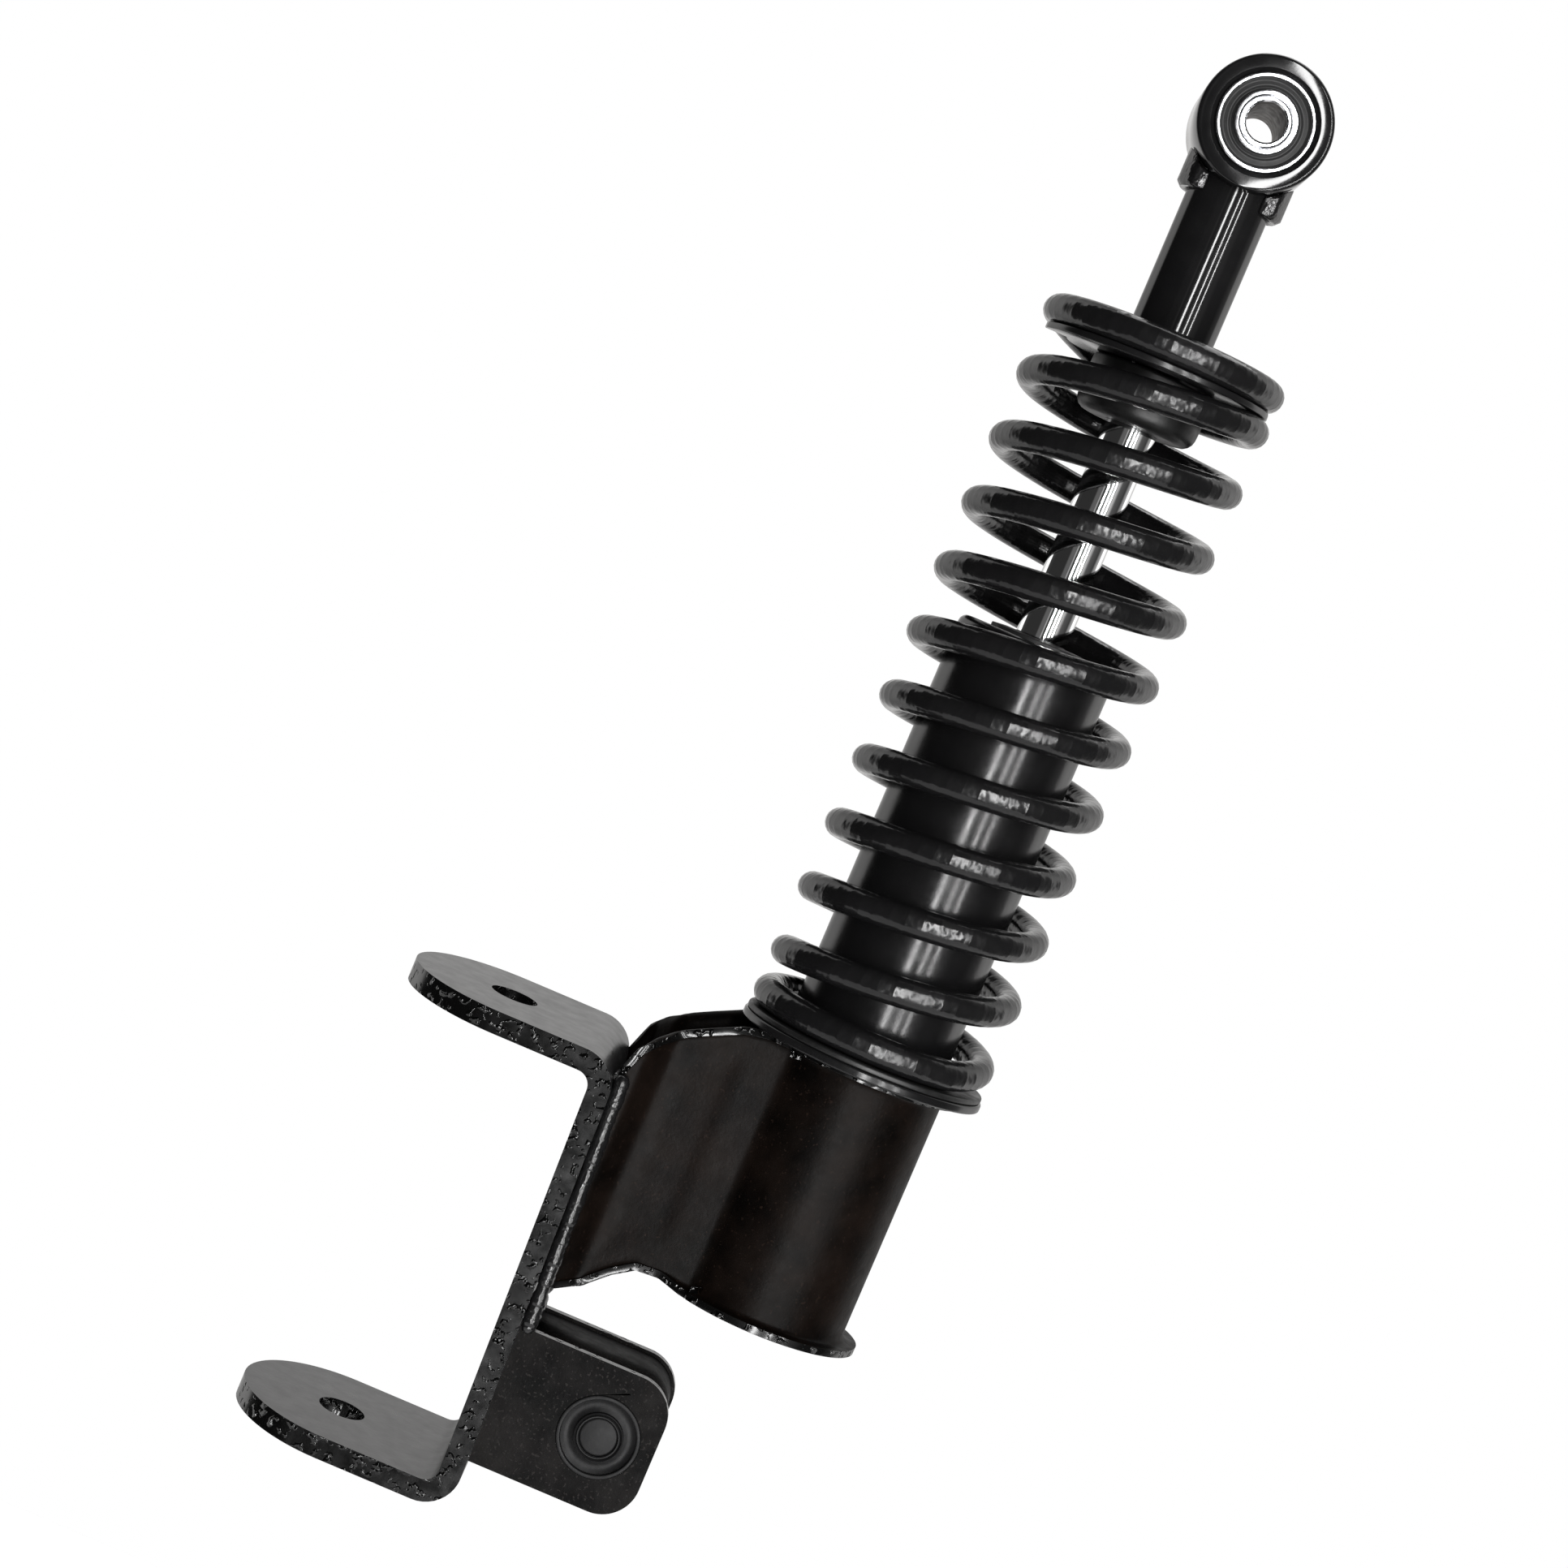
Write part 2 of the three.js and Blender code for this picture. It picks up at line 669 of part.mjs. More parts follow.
// ---------------------------------------------------------------- king-pin bracket

// The bracket is bent square, then tilted about X, which gives the king pin its caster.
function makeKingPinBracket() {
  const [halfPlate, reach] = [plate.thickness / 2, plate.holeX - plate.width];
  const bendRadius = plate.bend + halfPlate;
  const top = upperEarTop - halfPlate;
  const bottom = lowerEarTop - halfPlate;
  const cornerTop = [webFace(top, halfPlate), top];
  const cornerBottom = [webFace(bottom, halfPlate), bottom];
  const line = [
    [reach, top],
    ...rounded([reach, top], cornerTop, cornerBottom, bendRadius),
    ...rounded(cornerTop, cornerBottom, [reach, bottom], bendRadius),
    [reach, bottom],
  ];
  const half = plate.width / 2;
  const bent = solidOf(widened(strip(line, halfPlate, halfPlate), -half, half));
  const plan = [
    [-web.bottomX, -half - PAST],
    [-web.bottomX, half + PAST],
    [plate.holeX, half + PAST],
    ...arc(plate.holeX, 0, half, 90, 270, 24),
    [plate.holeX, -half - PAST],
  ];
  const [low, high] = [bottom - plate.thickness, top + plate.thickness];
  const hole = turnedZ(
    [
      [0, low],
      [plate.holeRadius, low],
      [plate.holeRadius, high],
      [0, high],
    ],
    FINE,
  ).translate(plate.holeX, 0, 0);
  const body = bent.intersect(solidOf(raised(plan, low, high))).subtract(solidOf(hole));
  const middle = (low + high) / 2;
  const tilted = geometryOf(body)
    .translate(0, 0, -middle)
    .rotateX(THREE.MathUtils.degToRad(plate.tilt))
    .translate(0, 0, middle);
  return [part("king_pin_bracket", tilted, "satinBlack")];
}

// ---------------------------------------------------------------- pivot box

function boxOutline(inset) {
  const right = box.right - inset;
  const [high, low] = [boxTop - inset, boxBottom + inset];
  const radius = Math.max(box.corner - inset, 1);
  const left = (height) => webFace(height, plate.thickness + GAP);
  return [
    [left(low), low],
    ...rounded([left(low), low], [right, low], [right, high], radius, 6),
    ...rounded([right, low], [right, high], [left(high), high], radius, 6),
    [left(high), high],
  ];
}

function makeBox() {
  const strapHalf = box.halfWidth - boxPlate.cheek - GAP;
  const inner = boxOutline(boxPlate.inset + boxPlate.strap);
  inner[0][0] -= PAST;
  inner.at(-1)[0] -= PAST;
  const hollow = solidOf(widened(inner, -box.halfWidth, box.halfWidth));
  const strap = solidOf(widened(boxOutline(boxPlate.inset), -strapHalf, strapHalf)).subtract(hollow);
  const bore = turnedY([
    [0, -box.halfWidth - PAST],
    [pivot.shellRadius + GAP, -box.halfWidth - PAST],
    [pivot.shellRadius + GAP, box.halfWidth + PAST],
    [0, box.halfWidth + PAST],
  ]).translate(pivot.x, 0, pivotHeight);
  const cheek = (near, far) =>
    geometryOf(solidOf(widened(boxOutline(0), near, far)).subtract(solidOf(bore)));
  const cheekInner = box.halfWidth - boxPlate.cheek;
  return [
    part("box_front_cheek", cheek(-box.halfWidth, -cheekInner), "satinBlack"),
    part("box_rear_cheek", cheek(cheekInner, box.halfWidth), "satinBlack"),
    part("box_strap", geometryOf(strap), "satinBlack"),
  ];
}

function makePivotBush() {
  const half = box.halfWidth + pivotBush.shellProud;
  const rubberHalfLength = box.halfWidth - pivotBush.rubberRecess;
  const shellInner = pivot.shellRadius - pivot.shellWall;
  const at = (geometry) => geometry.translate(pivot.x, 0, pivotHeight);
  return [
    part("pivot_shell", at(turnedY(ring(shellInner, pivot.shellRadius, -half, half))), "zincSteel"),
    part(
      "pivot_rubber",
      at(
        turnedY(
          ring(pivot.sleeveRadius + GAP, shellInner - GAP, -rubberHalfLength, rubberHalfLength),
        ),
      ),
      "rubber",
    ),
  ];
}

function makePivotSleeve() {
  const half = box.halfWidth + pivotBush.shellProud;
  const at = (geometry) => geometry.translate(pivot.x, 0, pivotHeight);
  const outer = half - pivotBush.plugRecess;
  const plugLoop = (low, high) => [
    [0, low],
    [pivot.sleeveBore - GAP, low],
    [pivot.sleeveBore - GAP, high],
    [0, high],
  ];
  const plug = (low, high) => at(turnedY(plugLoop(low, high), FINE));
  return [
    part(
      "pivot_sleeve",
      at(turnedY(ring(pivot.sleeveBore, pivot.sleeveRadius, -half, half), FINE)),
      "zincSteel",
    ),
    part("pivot_front_plug", plug(-outer, -outer + pivotBush.plugDepth), "plastic"),
    part("pivot_rear_plug", plug(outer - pivotBush.plugDepth, outer), "plastic"),
  ];
}

// ---------------------------------------------------------------- weld beads

// Beads lie in the corners between plates, each held off both by the usual gap.
function makeBeads() {
  const off = bead.radius + GAP;
  const face = (height) => webFace(height, plate.thickness + off);
  const legOuter = leg.footY + saddle.sheet / 2 + off;
  const [legHigh, legLow] = [saddleTop - legTop.endDrop - bead.radius, boxTop + off];
  const [boxHigh, boxLow] = [boxTop + off, boxBottom - off];
  const across = box.halfWidth - bead.radius;
  const legBead = (side) =>
    weldBead([face(legHigh), side * legOuter, legHigh], [face(legLow), side * legOuter, legLow]);
  return [
    part("saddle_front_bead", legBead(-1), "weldBlack"),
    part("saddle_rear_bead", legBead(1), "weldBlack"),
    part(
      "box_top_bead",
      weldBead([face(boxHigh), -across, boxHigh], [face(boxHigh), across, boxHigh]),
      "weldBlack",
    ),
  ];
}

// ---------------------------------------------------------------- assembly

const assembly = new THREE.Group();
assembly.name = "strut_assembly";
assembly.add(
  ...makeEye(),
  ...makeEyeSleeve(),
  ...makeTube(),
  ...makeUpperSeat(),
  ...makeBumpStop(),
  ...makeRod(),
  ...makeSpring(),
  ...makeLowerSeat(),
  ...makeDamper(),
  ...makeSaddle(),
  ...makeKingPinBracket(),
  ...makeBox(),
  ...makePivotBush(),
  ...makePivotSleeve(),
  ...makeBeads(),
);

export default assembly;
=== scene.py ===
# %% [markdown]
# # A suspension strut, made piece by piece
# A strut joins a wheel to the body of a small vehicle. A chrome rod slides in an oil-filled tube, a
# coil spring sits round both, and a bracket welded to the tube holds the wheel's king pin.
# The rough solids are loaded first. They fix every place and size, and the pieces made here
# give them round edges, bends, weld beads and paint.

# %% Load the rough solids
import json
import math

import bmesh
import bpy
from mathutils import Matrix, Vector


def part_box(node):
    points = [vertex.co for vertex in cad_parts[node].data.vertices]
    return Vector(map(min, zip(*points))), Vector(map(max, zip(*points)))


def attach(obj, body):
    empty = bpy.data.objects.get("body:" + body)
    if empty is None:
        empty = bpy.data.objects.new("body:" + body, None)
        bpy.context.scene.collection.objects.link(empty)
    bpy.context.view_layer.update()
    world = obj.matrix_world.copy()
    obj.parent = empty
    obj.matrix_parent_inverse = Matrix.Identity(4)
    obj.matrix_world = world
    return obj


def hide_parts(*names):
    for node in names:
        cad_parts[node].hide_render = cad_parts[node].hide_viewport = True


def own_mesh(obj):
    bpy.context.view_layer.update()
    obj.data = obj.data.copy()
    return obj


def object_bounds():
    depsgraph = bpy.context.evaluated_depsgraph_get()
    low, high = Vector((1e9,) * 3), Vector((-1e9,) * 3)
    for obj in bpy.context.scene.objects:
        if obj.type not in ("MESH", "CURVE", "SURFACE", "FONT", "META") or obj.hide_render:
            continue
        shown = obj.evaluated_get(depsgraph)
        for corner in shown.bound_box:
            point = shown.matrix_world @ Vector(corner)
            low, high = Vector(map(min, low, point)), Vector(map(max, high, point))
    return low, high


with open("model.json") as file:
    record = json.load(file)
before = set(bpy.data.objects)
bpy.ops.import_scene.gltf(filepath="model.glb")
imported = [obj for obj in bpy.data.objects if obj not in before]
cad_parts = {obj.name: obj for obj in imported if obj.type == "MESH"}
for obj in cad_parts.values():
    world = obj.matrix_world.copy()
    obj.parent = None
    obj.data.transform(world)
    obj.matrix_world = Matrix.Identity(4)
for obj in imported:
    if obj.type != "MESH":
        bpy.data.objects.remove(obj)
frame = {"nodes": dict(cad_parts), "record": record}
cad_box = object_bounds()
MM = 0.001
low, high = cad_box
print("rough solids span, mm:", [round((b - a) / MM, 1) for a, b in zip(low, high)])

# %% [markdown]
# ## Where things are
# The rough solids already know where each piece lies, so the levels are read from their boxes
# and not typed again. `top_of` and `bottom_of` give heights in millimetres.

# %% Levels read from the rough solids
def low_corner(node):
    return Vector(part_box(node)[0]) / MM


def high_corner(node):
    return Vector(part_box(node)[1]) / MM


def bottom_of(node):
    return low_corner(node).z


def top_of(node):
    return high_corner(node).z


def radius_of(node):
    return high_corner(node).x


print("spring from", round(bottom_of("coil_spring"), 1), "to", round(top_of("coil_spring"), 1))

# %% [markdown]
# ## The camera
# A long lens a metre away keeps the strut's sides nearly parallel. The camera is rolled, so the
# strut leans to the right while it stays upright in its own axes.

# %% Camera
LEAN = math.radians(23.0)
PITCH = math.radians(3.85)
forward = Vector((0, math.cos(PITCH), -math.sin(PITCH)))
level_right = Vector((1, 0, 0))
level_up = Vector((0, math.sin(PITCH), math.cos(PITCH)))
camera_right = math.cos(LEAN) * level_right + math.sin(LEAN) * level_up
camera_up = math.cos(LEAN) * level_up - math.sin(LEAN) * level_right

camera = bpy.data.objects.new("camera", bpy.data.cameras.new("camera"))
bpy.context.scene.collection.objects.link(camera)
turn = Matrix((camera_right, camera_up, -forward)).transposed().to_4x4()
stand = Vector((-0.048, -0.940, -0.146)) + 0.0036 * camera_up + 0.0023 * camera_right
camera.matrix_world = Matrix.Translation(stand) @ turn
camera.data.lens = 82.0
camera.data.sensor_width = 36.0
bpy.context.scene.camera = camera
print("camera looks along", [round(value, 3) for value in forward])

# %% [markdown]
# ## Nodes for the finishes
# Every finish here is a Principled shader with a few noise patterns. A small helper adds a node
# and another joins two sockets, so each finish reads as a short recipe.

# %% Helpers for the finishes
class Finish:
    """A material with its Principled shader, and patterns in millimetres across the piece."""

    def __init__(self, name, **values):
        self.material = bpy.data.materials.new(name)
        self.material.use_nodes = True
        self.nodes = self.material.node_tree.nodes
        self.links = self.material.node_tree.links
        self.shader = self.nodes["Principled BSDF"]
        self.place = self.nodes.new("ShaderNodeTexCoord").outputs["Object"]
        self.surface = None
        for socket, value in values.items():
            self.shader.inputs[socket.replace("_", " ")].default_value = value

    def grain(self, size_mm, detail=3.0, rough=0.55, stretch=(1, 1, 1)):
        """Cloudy noise whose blobs are about size_mm across."""
        mapping = self.nodes.new("ShaderNodeMapping")
        mapping.inputs["Scale"].default_value = stretch
        self.links.new(self.place, mapping.inputs["Vector"])
        noise = self.nodes.new("ShaderNodeTexNoise")
        noise.inputs["Scale"].default_value = 1.0 / (size_mm * MM)
        noise.inputs["Detail"].default_value = detail
        noise.inputs["Roughness"].default_value = rough
        self.links.new(mapping.outputs["Vector"], noise.inputs["Vector"])
        return noise.outputs["Fac"]

    def ranged(self, source, from_low, from_high, to_low, to_high):
        """A pattern squeezed from one range of values to another."""
        ranged = self.nodes.new("ShaderNodeMapRange")
        ranged.inputs["From Min"].default_value = from_low
        ranged.inputs["From Max"].default_value = from_high
        ranged.inputs["To Min"].default_value = to_low
        ranged.inputs["To Max"].default_value = to_high
        self.links.new(source, ranged.inputs["Value"])
        return ranged.outputs["Result"]

    def tint(self, source, dark, light):
        """Colour the surface between two colours by a pattern."""
        mix = self.nodes.new("ShaderNodeMix")
        mix.data_type = "RGBA"
        mix.inputs["A"].default_value = (*dark, 1)
        mix.inputs["B"].default_value = (*light, 1)
        self.links.new(source, mix.inputs["Factor"])
        self.links.new(mix.outputs["Result"], self.shader.inputs["Base Color"])

    def roughen(self, source, smooth, rough):
        """Let the gloss vary by a pattern."""
        varied = self.ranged(source, 0.3, 0.7, smooth, rough)
        self.links.new(varied, self.shader.inputs["Roughness"])

    def bump(self, source, depth_mm, strength=1.0):
        """Raise the surface by a pattern."""
        bump = self.nodes.new("ShaderNodeBump")
        bump.inputs["Strength"].default_value = strength
        bump.inputs["Distance"].default_value = depth_mm * MM
        self.links.new(source, bump.inputs["Height"])
        if self.surface is not None:
            self.links.new(self.surface, bump.inputs["Normal"])
        self.surface = bump.outputs["Normal"]
        self.links.new(self.surface, self.shader.inputs["Normal"])


# %% [markdown]
# ## Black paint, from wet to dusty
# The tubes and the spring wear a wet-looking gloss, the bracket a semi-gloss, and the pressed
# saddle, the box and its bush a duller coat, with a film of dust on some. A painted surface is
# never a mirror: it has orange peel, the shallow ripples that paint dries with, so each coat gets
# a faint bump. Edges that were sheared and beads that were welded stay rough under the paint, so
# they glint.

# %% Paints
def gloss_paint(name, smooth, rough, peel_mm, peel_depth, dark=0.002, light=0.005, shine=0.22):
    """A clean black coat: roughness from smooth to rough, and ripples peel_mm across."""
    paint = Finish(name, Specular_IOR_Level=shine)
    paint.tint(paint.grain(9), (dark, dark, dark * 1.08), (light, light * 0.98, light))
    paint.roughen(paint.grain(5, detail=4), smooth, rough)
    paint.bump(paint.grain(peel_mm, detail=1), peel_depth)
    return paint.material


eye_paint = gloss_paint("eye_paint", 0.06, 0.1, 3.5, 0.003)
tube_paint = gloss_paint("tube_paint", 0.15, 0.25, 1.6, 0.012)
spring_paint = gloss_paint("spring_paint", 0.12, 0.22, 2.6, 0.16)
bracket_paint = gloss_paint("bracket_paint", 0.27, 0.36, 1.4, 0.02, 0.003, 0.006, 0.6)
bush_paint = gloss_paint("bush_paint", 0.4, 0.55, 1.8, 0.06, 0.003, 0.006, 0.1)
weld_paint = gloss_paint("weld_paint", 0.14, 0.26, 1.6, 0.25, shine=0.3)

sheared = Finish("sheared_paint", Specular_IOR_Level=0.3, Base_Color=(0.001, 0.001, 0.001, 1))
sheared.roughen(sheared.grain(5), 0.12, 0.2)
sheared.bump(sheared.ranged(sheared.grain(2.2, detail=1), 0.56, 0.78, 0.0, 1.0), 1.0)
sheared_paint = sheared.material


def dusty_paint(name, smooth, rough, dark, light, specks, peel, shine):
    """A duller coat with a film of dust and pale specks in it."""
    paint = Finish(name, Specular_IOR_Level=shine)
    film = paint.ranged(paint.grain(12, detail=6), 0.35, 0.7, 0.0, 0.55)
    speck = paint.ranged(paint.grain(0.9, detail=1), specks, specks + 0.06, 0.0, 1.0)
    both = paint.nodes.new("ShaderNodeMath")
    both.operation = "MAXIMUM"
    paint.links.new(film, both.inputs[0])
    paint.links.new(speck, both.inputs[1])
    paint.tint(both.outputs["Value"], dark, light)
    paint.roughen(paint.grain(4, detail=4), smooth, rough)
    paint.bump(paint.grain(1.1, detail=2), peel)
    return paint.material


saddle_paint = dusty_paint(
    "saddle_paint", 0.32, 0.46, (0.0008, 0.0006, 0.0005), (0.0052, 0.0033, 0.0025), 0.66, 0.05, 0.03
)
box_paint = dusty_paint(
    "box_paint", 0.45, 0.6, (0.0004, 0.0004, 0.0004), (0.008, 0.0072, 0.0068), 0.61, 0.08, 0.035
)
print("paints:", len([m for m in bpy.data.materials if m.name.endswith("paint")]))

# %% [markdown]
# ## Bright metal and rubber
# The rod is ground and hard-chromed, so it is nearly a mirror, with grinding marks that run round
# it. The bush rings are turned and zinc plated. The rubber is dull and slightly dusty.

# %% Bright metals, rubber and plastic
chrome = Finish("rod_chrome", Metallic=1.0)
chrome.tint(chrome.grain(20), (0.80, 0.81, 0.82), (0.88, 0.88, 0.88))
chrome.roughen(chrome.grain(3, stretch=(0.3, 0.3, 4)), 0.035, 0.075)
rod_chrome = chrome.material

zinc = Finish("bright_zinc", Metallic=1.0)
zinc.tint(zinc.grain(3, detail=4), (0.34, 0.345, 0.36), (0.56, 0.56, 0.57))
zinc.roughen(zinc.grain(1.5, detail=4), 0.12, 0.24)
zinc.bump(zinc.grain(1.0), 0.02)
bright_zinc = zinc.material

steel = Finish("turned_steel", Metallic=1.0)
steel.tint(steel.grain(6), (0.35, 0.36, 0.38), (0.5, 0.5, 0.52))
steel.roughen(steel.grain(2), 0.3, 0.45)
turned_steel = steel.material

# Painted shade: a dark metal that goes only on the inside of the eye sleeve's bore, standing for the
# shade in the hole.
bore_shade = Finish("bore_shade_steel", Metallic=1.0)
bore_shade.tint(bore_shade.grain(4), (0.03, 0.028, 0.026), (0.10, 0.09, 0.08))
bore_shade.roughen(bore_shade.grain(2), 0.4, 0.6)
bore_shade_steel = bore_shade.material

bronze = Finish("bearing_bronze", Metallic=1.0)
bronze.tint(bronze.grain(6), (0.42, 0.27, 0.10), (0.56, 0.38, 0.17))
bronze.roughen(bronze.grain(2), 0.28, 0.42)
bearing_bronze = bronze.material


def rubbery(name, smooth, rough, shade):
    """Dull rubber or plastic, mottled between one shade and twice as light."""
    rubber = Finish(name, Specular_IOR_Level=0.25)
    rubber.tint(rubber.grain(6, detail=5), (shade,) * 3, (shade * 2.0,) * 3)
    rubber.roughen(rubber.grain(3), smooth, rough)
    rubber.bump(rubber.grain(0.6), 0.02)
    return rubber.material


bush_rubber = rubbery("bush_rubber", 0.45, 0.65, 0.006)
stop_rubber = rubbery("stop_rubber", 0.34, 0.48, 0.0025)
black_plastic = rubbery("black_plastic", 0.35, 0.5, 0.004)

# %% [markdown]
# ## Making and placing a piece
# A finished piece is a bmesh turned into an object at the origin. It is parented to the moving body
# it rides on, the rough solids it stands for are hidden, and it gets its finish. Edges sharper than a
# set angle stay crisp, and the rest is shaded smooth.

# %% Finish a piece
def add_piece(name, bm, nodes, material, crisp=40):
    """Turn a bmesh in millimetres into a finished piece that stands for one or more rough solids."""
    bmesh.ops.scale(bm, vec=(MM, MM, MM), verts=bm.verts)
    mesh = bpy.data.meshes.new(name)
    bm.to_mesh(mesh)
    bm.free()
    mesh.shade_smooth()
    mesh.set_sharp_from_angle(angle=math.radians(crisp))
    mesh.materials.append(material)
    piece = bpy.data.objects.new(name, mesh)
    bpy.context.scene.collection.objects.link(piece)
    body = next(b for b, owned in frame["record"]["behaviour"]["bodies"].items() if nodes[0] in owned)
    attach(piece, body)
    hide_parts(*nodes)
    print(f"{name}: {len(mesh.polygons)} faces on {body}")
    return piece


def rough_edges(piece):
    """Give the rim that Solidify makes the rougher look of a sheared edge."""
    piece.data.materials.append(sheared_paint)
    piece.modifiers[0].material_offset_rim = 1


def add_modifier(piece, kind, **settings):
    modifier = piece.modifiers.new(kind.lower(), kind)
    for key, value in settings.items():
        setattr(modifier, key, value)
    return modifier


# %% [markdown]
# ## Turned pieces
# Most of a strut is turned on a lathe, and so are these: half of the section is drawn as a flat
# face, its corners are bevelled one by one, and its outline is spun about the axis. A corner is
# written as radius, height and the size of its rounding.

# %% Turned pieces
def turned(corners, steps=96):
    """Spin a section, given as (radius, height, rounding) corners, into a closed turned piece."""
    bm = bmesh.new()
    section = bm.faces.new([bm.verts.new((radius, 0, height)) for radius, height, *_ in corners])
    rounding = [(vert, corner[2]) for vert, corner in zip(section.verts, corners) if len(corner) > 2]
    for vert, size in rounding:
        bmesh.ops.bevel(
            bm, geom=[vert], offset=size, affect="VERTICES", segments=4, profile=0.5, material=-1
        )
    bmesh.ops.delete(bm, geom=bm.faces[:], context="FACES_ONLY")
    on_axis = [e for e in bm.edges if all(abs(v.co.x) < 1e-6 for v in e.verts)]
    bmesh.ops.delete(bm, geom=on_axis, context="EDGES")
    bmesh.ops.spin(
        bm, geom=bm.verts[:] + bm.edges[:], cent=(0, 0, 0), axis=(0, 0, 1),
        angle=2 * math.pi, steps=steps, use_merge=True,
    )
    bmesh.ops.remove_doubles(bm, verts=bm.verts, dist=1e-4)
    bmesh.ops.recalc_face_normals(bm, faces=bm.faces)
    return bm


def lay_along_y(bm, centre=(0, 0, 0)):
    """Lay a turned piece down so that its axis runs along Y."""
    bmesh.ops.rotate(bm, verts=bm.verts, cent=(0, 0, 0), matrix=Matrix.Rotation(math.pi / 2, 3, "X"))
    bmesh.ops.translate(bm, verts=bm.verts, vec=centre)
    return bm


# %% [markdown]
# ## The upper eye
# A short thick tube lies across the top of the strut. A bonded rubber bush is pressed into it: a
# thin outer shell, the rubber, and an inner sleeve that the bolt clamps. The eye's mouth has a
# wide chamfer, which is how a bush is started into its bore.

# %% The eye and its bush
eye_radius, eye_half = radius_of("eye_ring"), high_corner("eye_ring").y
shell_radius, shell_half = radius_of("eye_bush_shell"), high_corner("eye_bush_shell").y
sleeve_radius, sleeve_half = radius_of("eye_sleeve"), high_corner("eye_sleeve").y
SHELL_WALL = 1.1
eye_bore = shell_radius + 0.05
add_piece(
    "eye", lay_along_y(turned([
        (eye_bore, -eye_half + 1.3), (eye_bore + 1.3, -eye_half), (eye_radius, -eye_half, 1.1),
        (eye_radius, eye_half, 1.1), (eye_bore + 1.3, eye_half), (eye_bore, eye_half - 1.3),
    ])), ["eye_ring"], eye_paint,
)
add_piece(
    "eye_shell", lay_along_y(turned([
        (shell_radius - SHELL_WALL, -shell_half, 0.25), (shell_radius, -shell_half, 0.35),
        (shell_radius, shell_half, 0.35), (shell_radius - SHELL_WALL, shell_half, 0.25),
    ])), ["eye_bush_shell"], bright_zinc,
)
rubber_outer, rubber_half = shell_radius - SHELL_WALL - 0.02, high_corner("eye_rubber").y
ridges = [(sleeve_radius + 0.02, 0.3), (sleeve_radius + 0.8, -0.5), (sleeve_radius + 1.5, 0.2)]
ridges += [(rubber_outer - 0.8, -0.5), (rubber_outer, 0.3)]
front = [(radius, -rubber_half - lift, 0.25) for radius, lift in ridges]
rear = [(radius, -height, size) for radius, height, size in reversed(front)]
add_piece(
    "eye_rubber_ring", lay_along_y(turned(front + rear)), ["eye_rubber"], bush_rubber
)


def bolt_sleeve(radius, bore, half, centre=(0, 0, 0)):
    """A sleeve with a chamfered bore, lying along Y, and a ring groove turned in each face."""
    groove = bore + 0.5 * (radius - bore)
    return lay_along_y(turned([
        (bore, -half + 0.5), (bore + 0.5, -half), (groove - 0.5, -half), (groove, -half + 0.7),
        (groove + 0.5, -half), (radius, -half, 0.35), (radius, half, 0.35), (groove + 0.5, half),
        (groove, half - 0.7), (groove - 0.5, half), (bore + 0.5, half), (bore, half - 0.5),
    ], 72), centre)


BORE = 5.2
sleeve = add_piece(
    "eye_bolt_sleeve", bolt_sleeve(sleeve_radius, BORE, sleeve_half),
    ["eye_sleeve"], bright_zinc,
)
# The faces inside the bore take the dark metal as painted shade.
sleeve.data.materials.append(bore_shade_steel)
for face in sleeve.data.polygons:
    if math.hypot(face.center.x, face.center.z) < (BORE + 0.1) * MM:
        face.material_index = 1

# %% [markdown]
# ## The extension tube
# A plain tube with its top end coped, cut to a saddle shape, so that it sits against the eye. A
# hole saw makes the cope in the shop. Here each corner above the eye's underside is moved down to it.

# %% The tube
def coped(bm, radius):
    """Cut away what lies inside a cylinder of this radius about the eye's axis, all at once."""
    for vert in bm.verts:
        if abs(vert.co.x) < radius:
            vert.co.z = min(vert.co.z, -math.sqrt(radius**2 - vert.co.x**2))
    return bm


TUBE_WALL = 2.1
tube_radius, tube_bottom = radius_of("upper_tube"), bottom_of("upper_tube")
tube = turned([
    (tube_radius - TUBE_WALL, tube_bottom, 0.3), (tube_radius, tube_bottom, 0.3),
    (tube_radius, -eye_radius * 0.6), (tube_radius - TUBE_WALL, -eye_radius * 0.6),
])
add_piece("extension_tube", coped(tube, eye_radius - 0.3), ["upper_tube"], eye_paint)

# %% [markdown]
# ## The upper spring seat
# A thin plate is welded to the tube. The spring's top turn lies on the plate and the wire then
# passes through a notch to its underside, so the spring is held from both sides. The rough solid
# already has the notch: a merged copy of it only needs its edges broken. The two lugs that weld
# the eye to the tube are made in the same way.

# %% The lugs, the upper seat and its weld
def smoothed_copy(node, edge, segments=2):
    """A copy of a rough solid with its doubles merged and its sharp edges rounded."""
    bm = bmesh.new()
    bm.from_mesh(frame["nodes"][node].data)
    bmesh.ops.scale(bm, vec=(1 / MM,) * 3, verts=bm.verts)
    bmesh.ops.remove_doubles(bm, verts=bm.verts, dist=1e-3)
    bmesh.ops.dissolve_limit(bm, angle_limit=math.radians(1), verts=bm.verts, edges=bm.edges)
    corners = [e for e in bm.edges if e.is_manifold and e.calc_face_angle() > math.radians(50)]
    bmesh.ops.bevel(
        bm, geom=corners, offset=edge, affect="EDGES", segments=segments, profile=0.5, material=-1
    )
    return bm


for side in ("left", "right"):
    node = f"eye_{side}_lug"
    add_piece(node + "_weld", smoothed_copy(node, 0.8, 3), [node], weld_paint)

seat_top, seat_under = top_of("upper_spring_seat"), bottom_of("upper_spring_seat")
add_piece(
    "upper_seat", smoothed_copy("upper_spring_seat", 0.35),
    ["upper_spring_seat"], tube_paint,
)
add_piece(
    "seat_fillet", turned([
        (tube_radius + 0.02, seat_top), (tube_radius + 2.8, seat_top),
        (tube_radius + 1.2, seat_top + 1.0, 0.8), (tube_radius + 0.02, seat_top + 2.8),
    ]), ["seat_weld"], weld_paint,
)

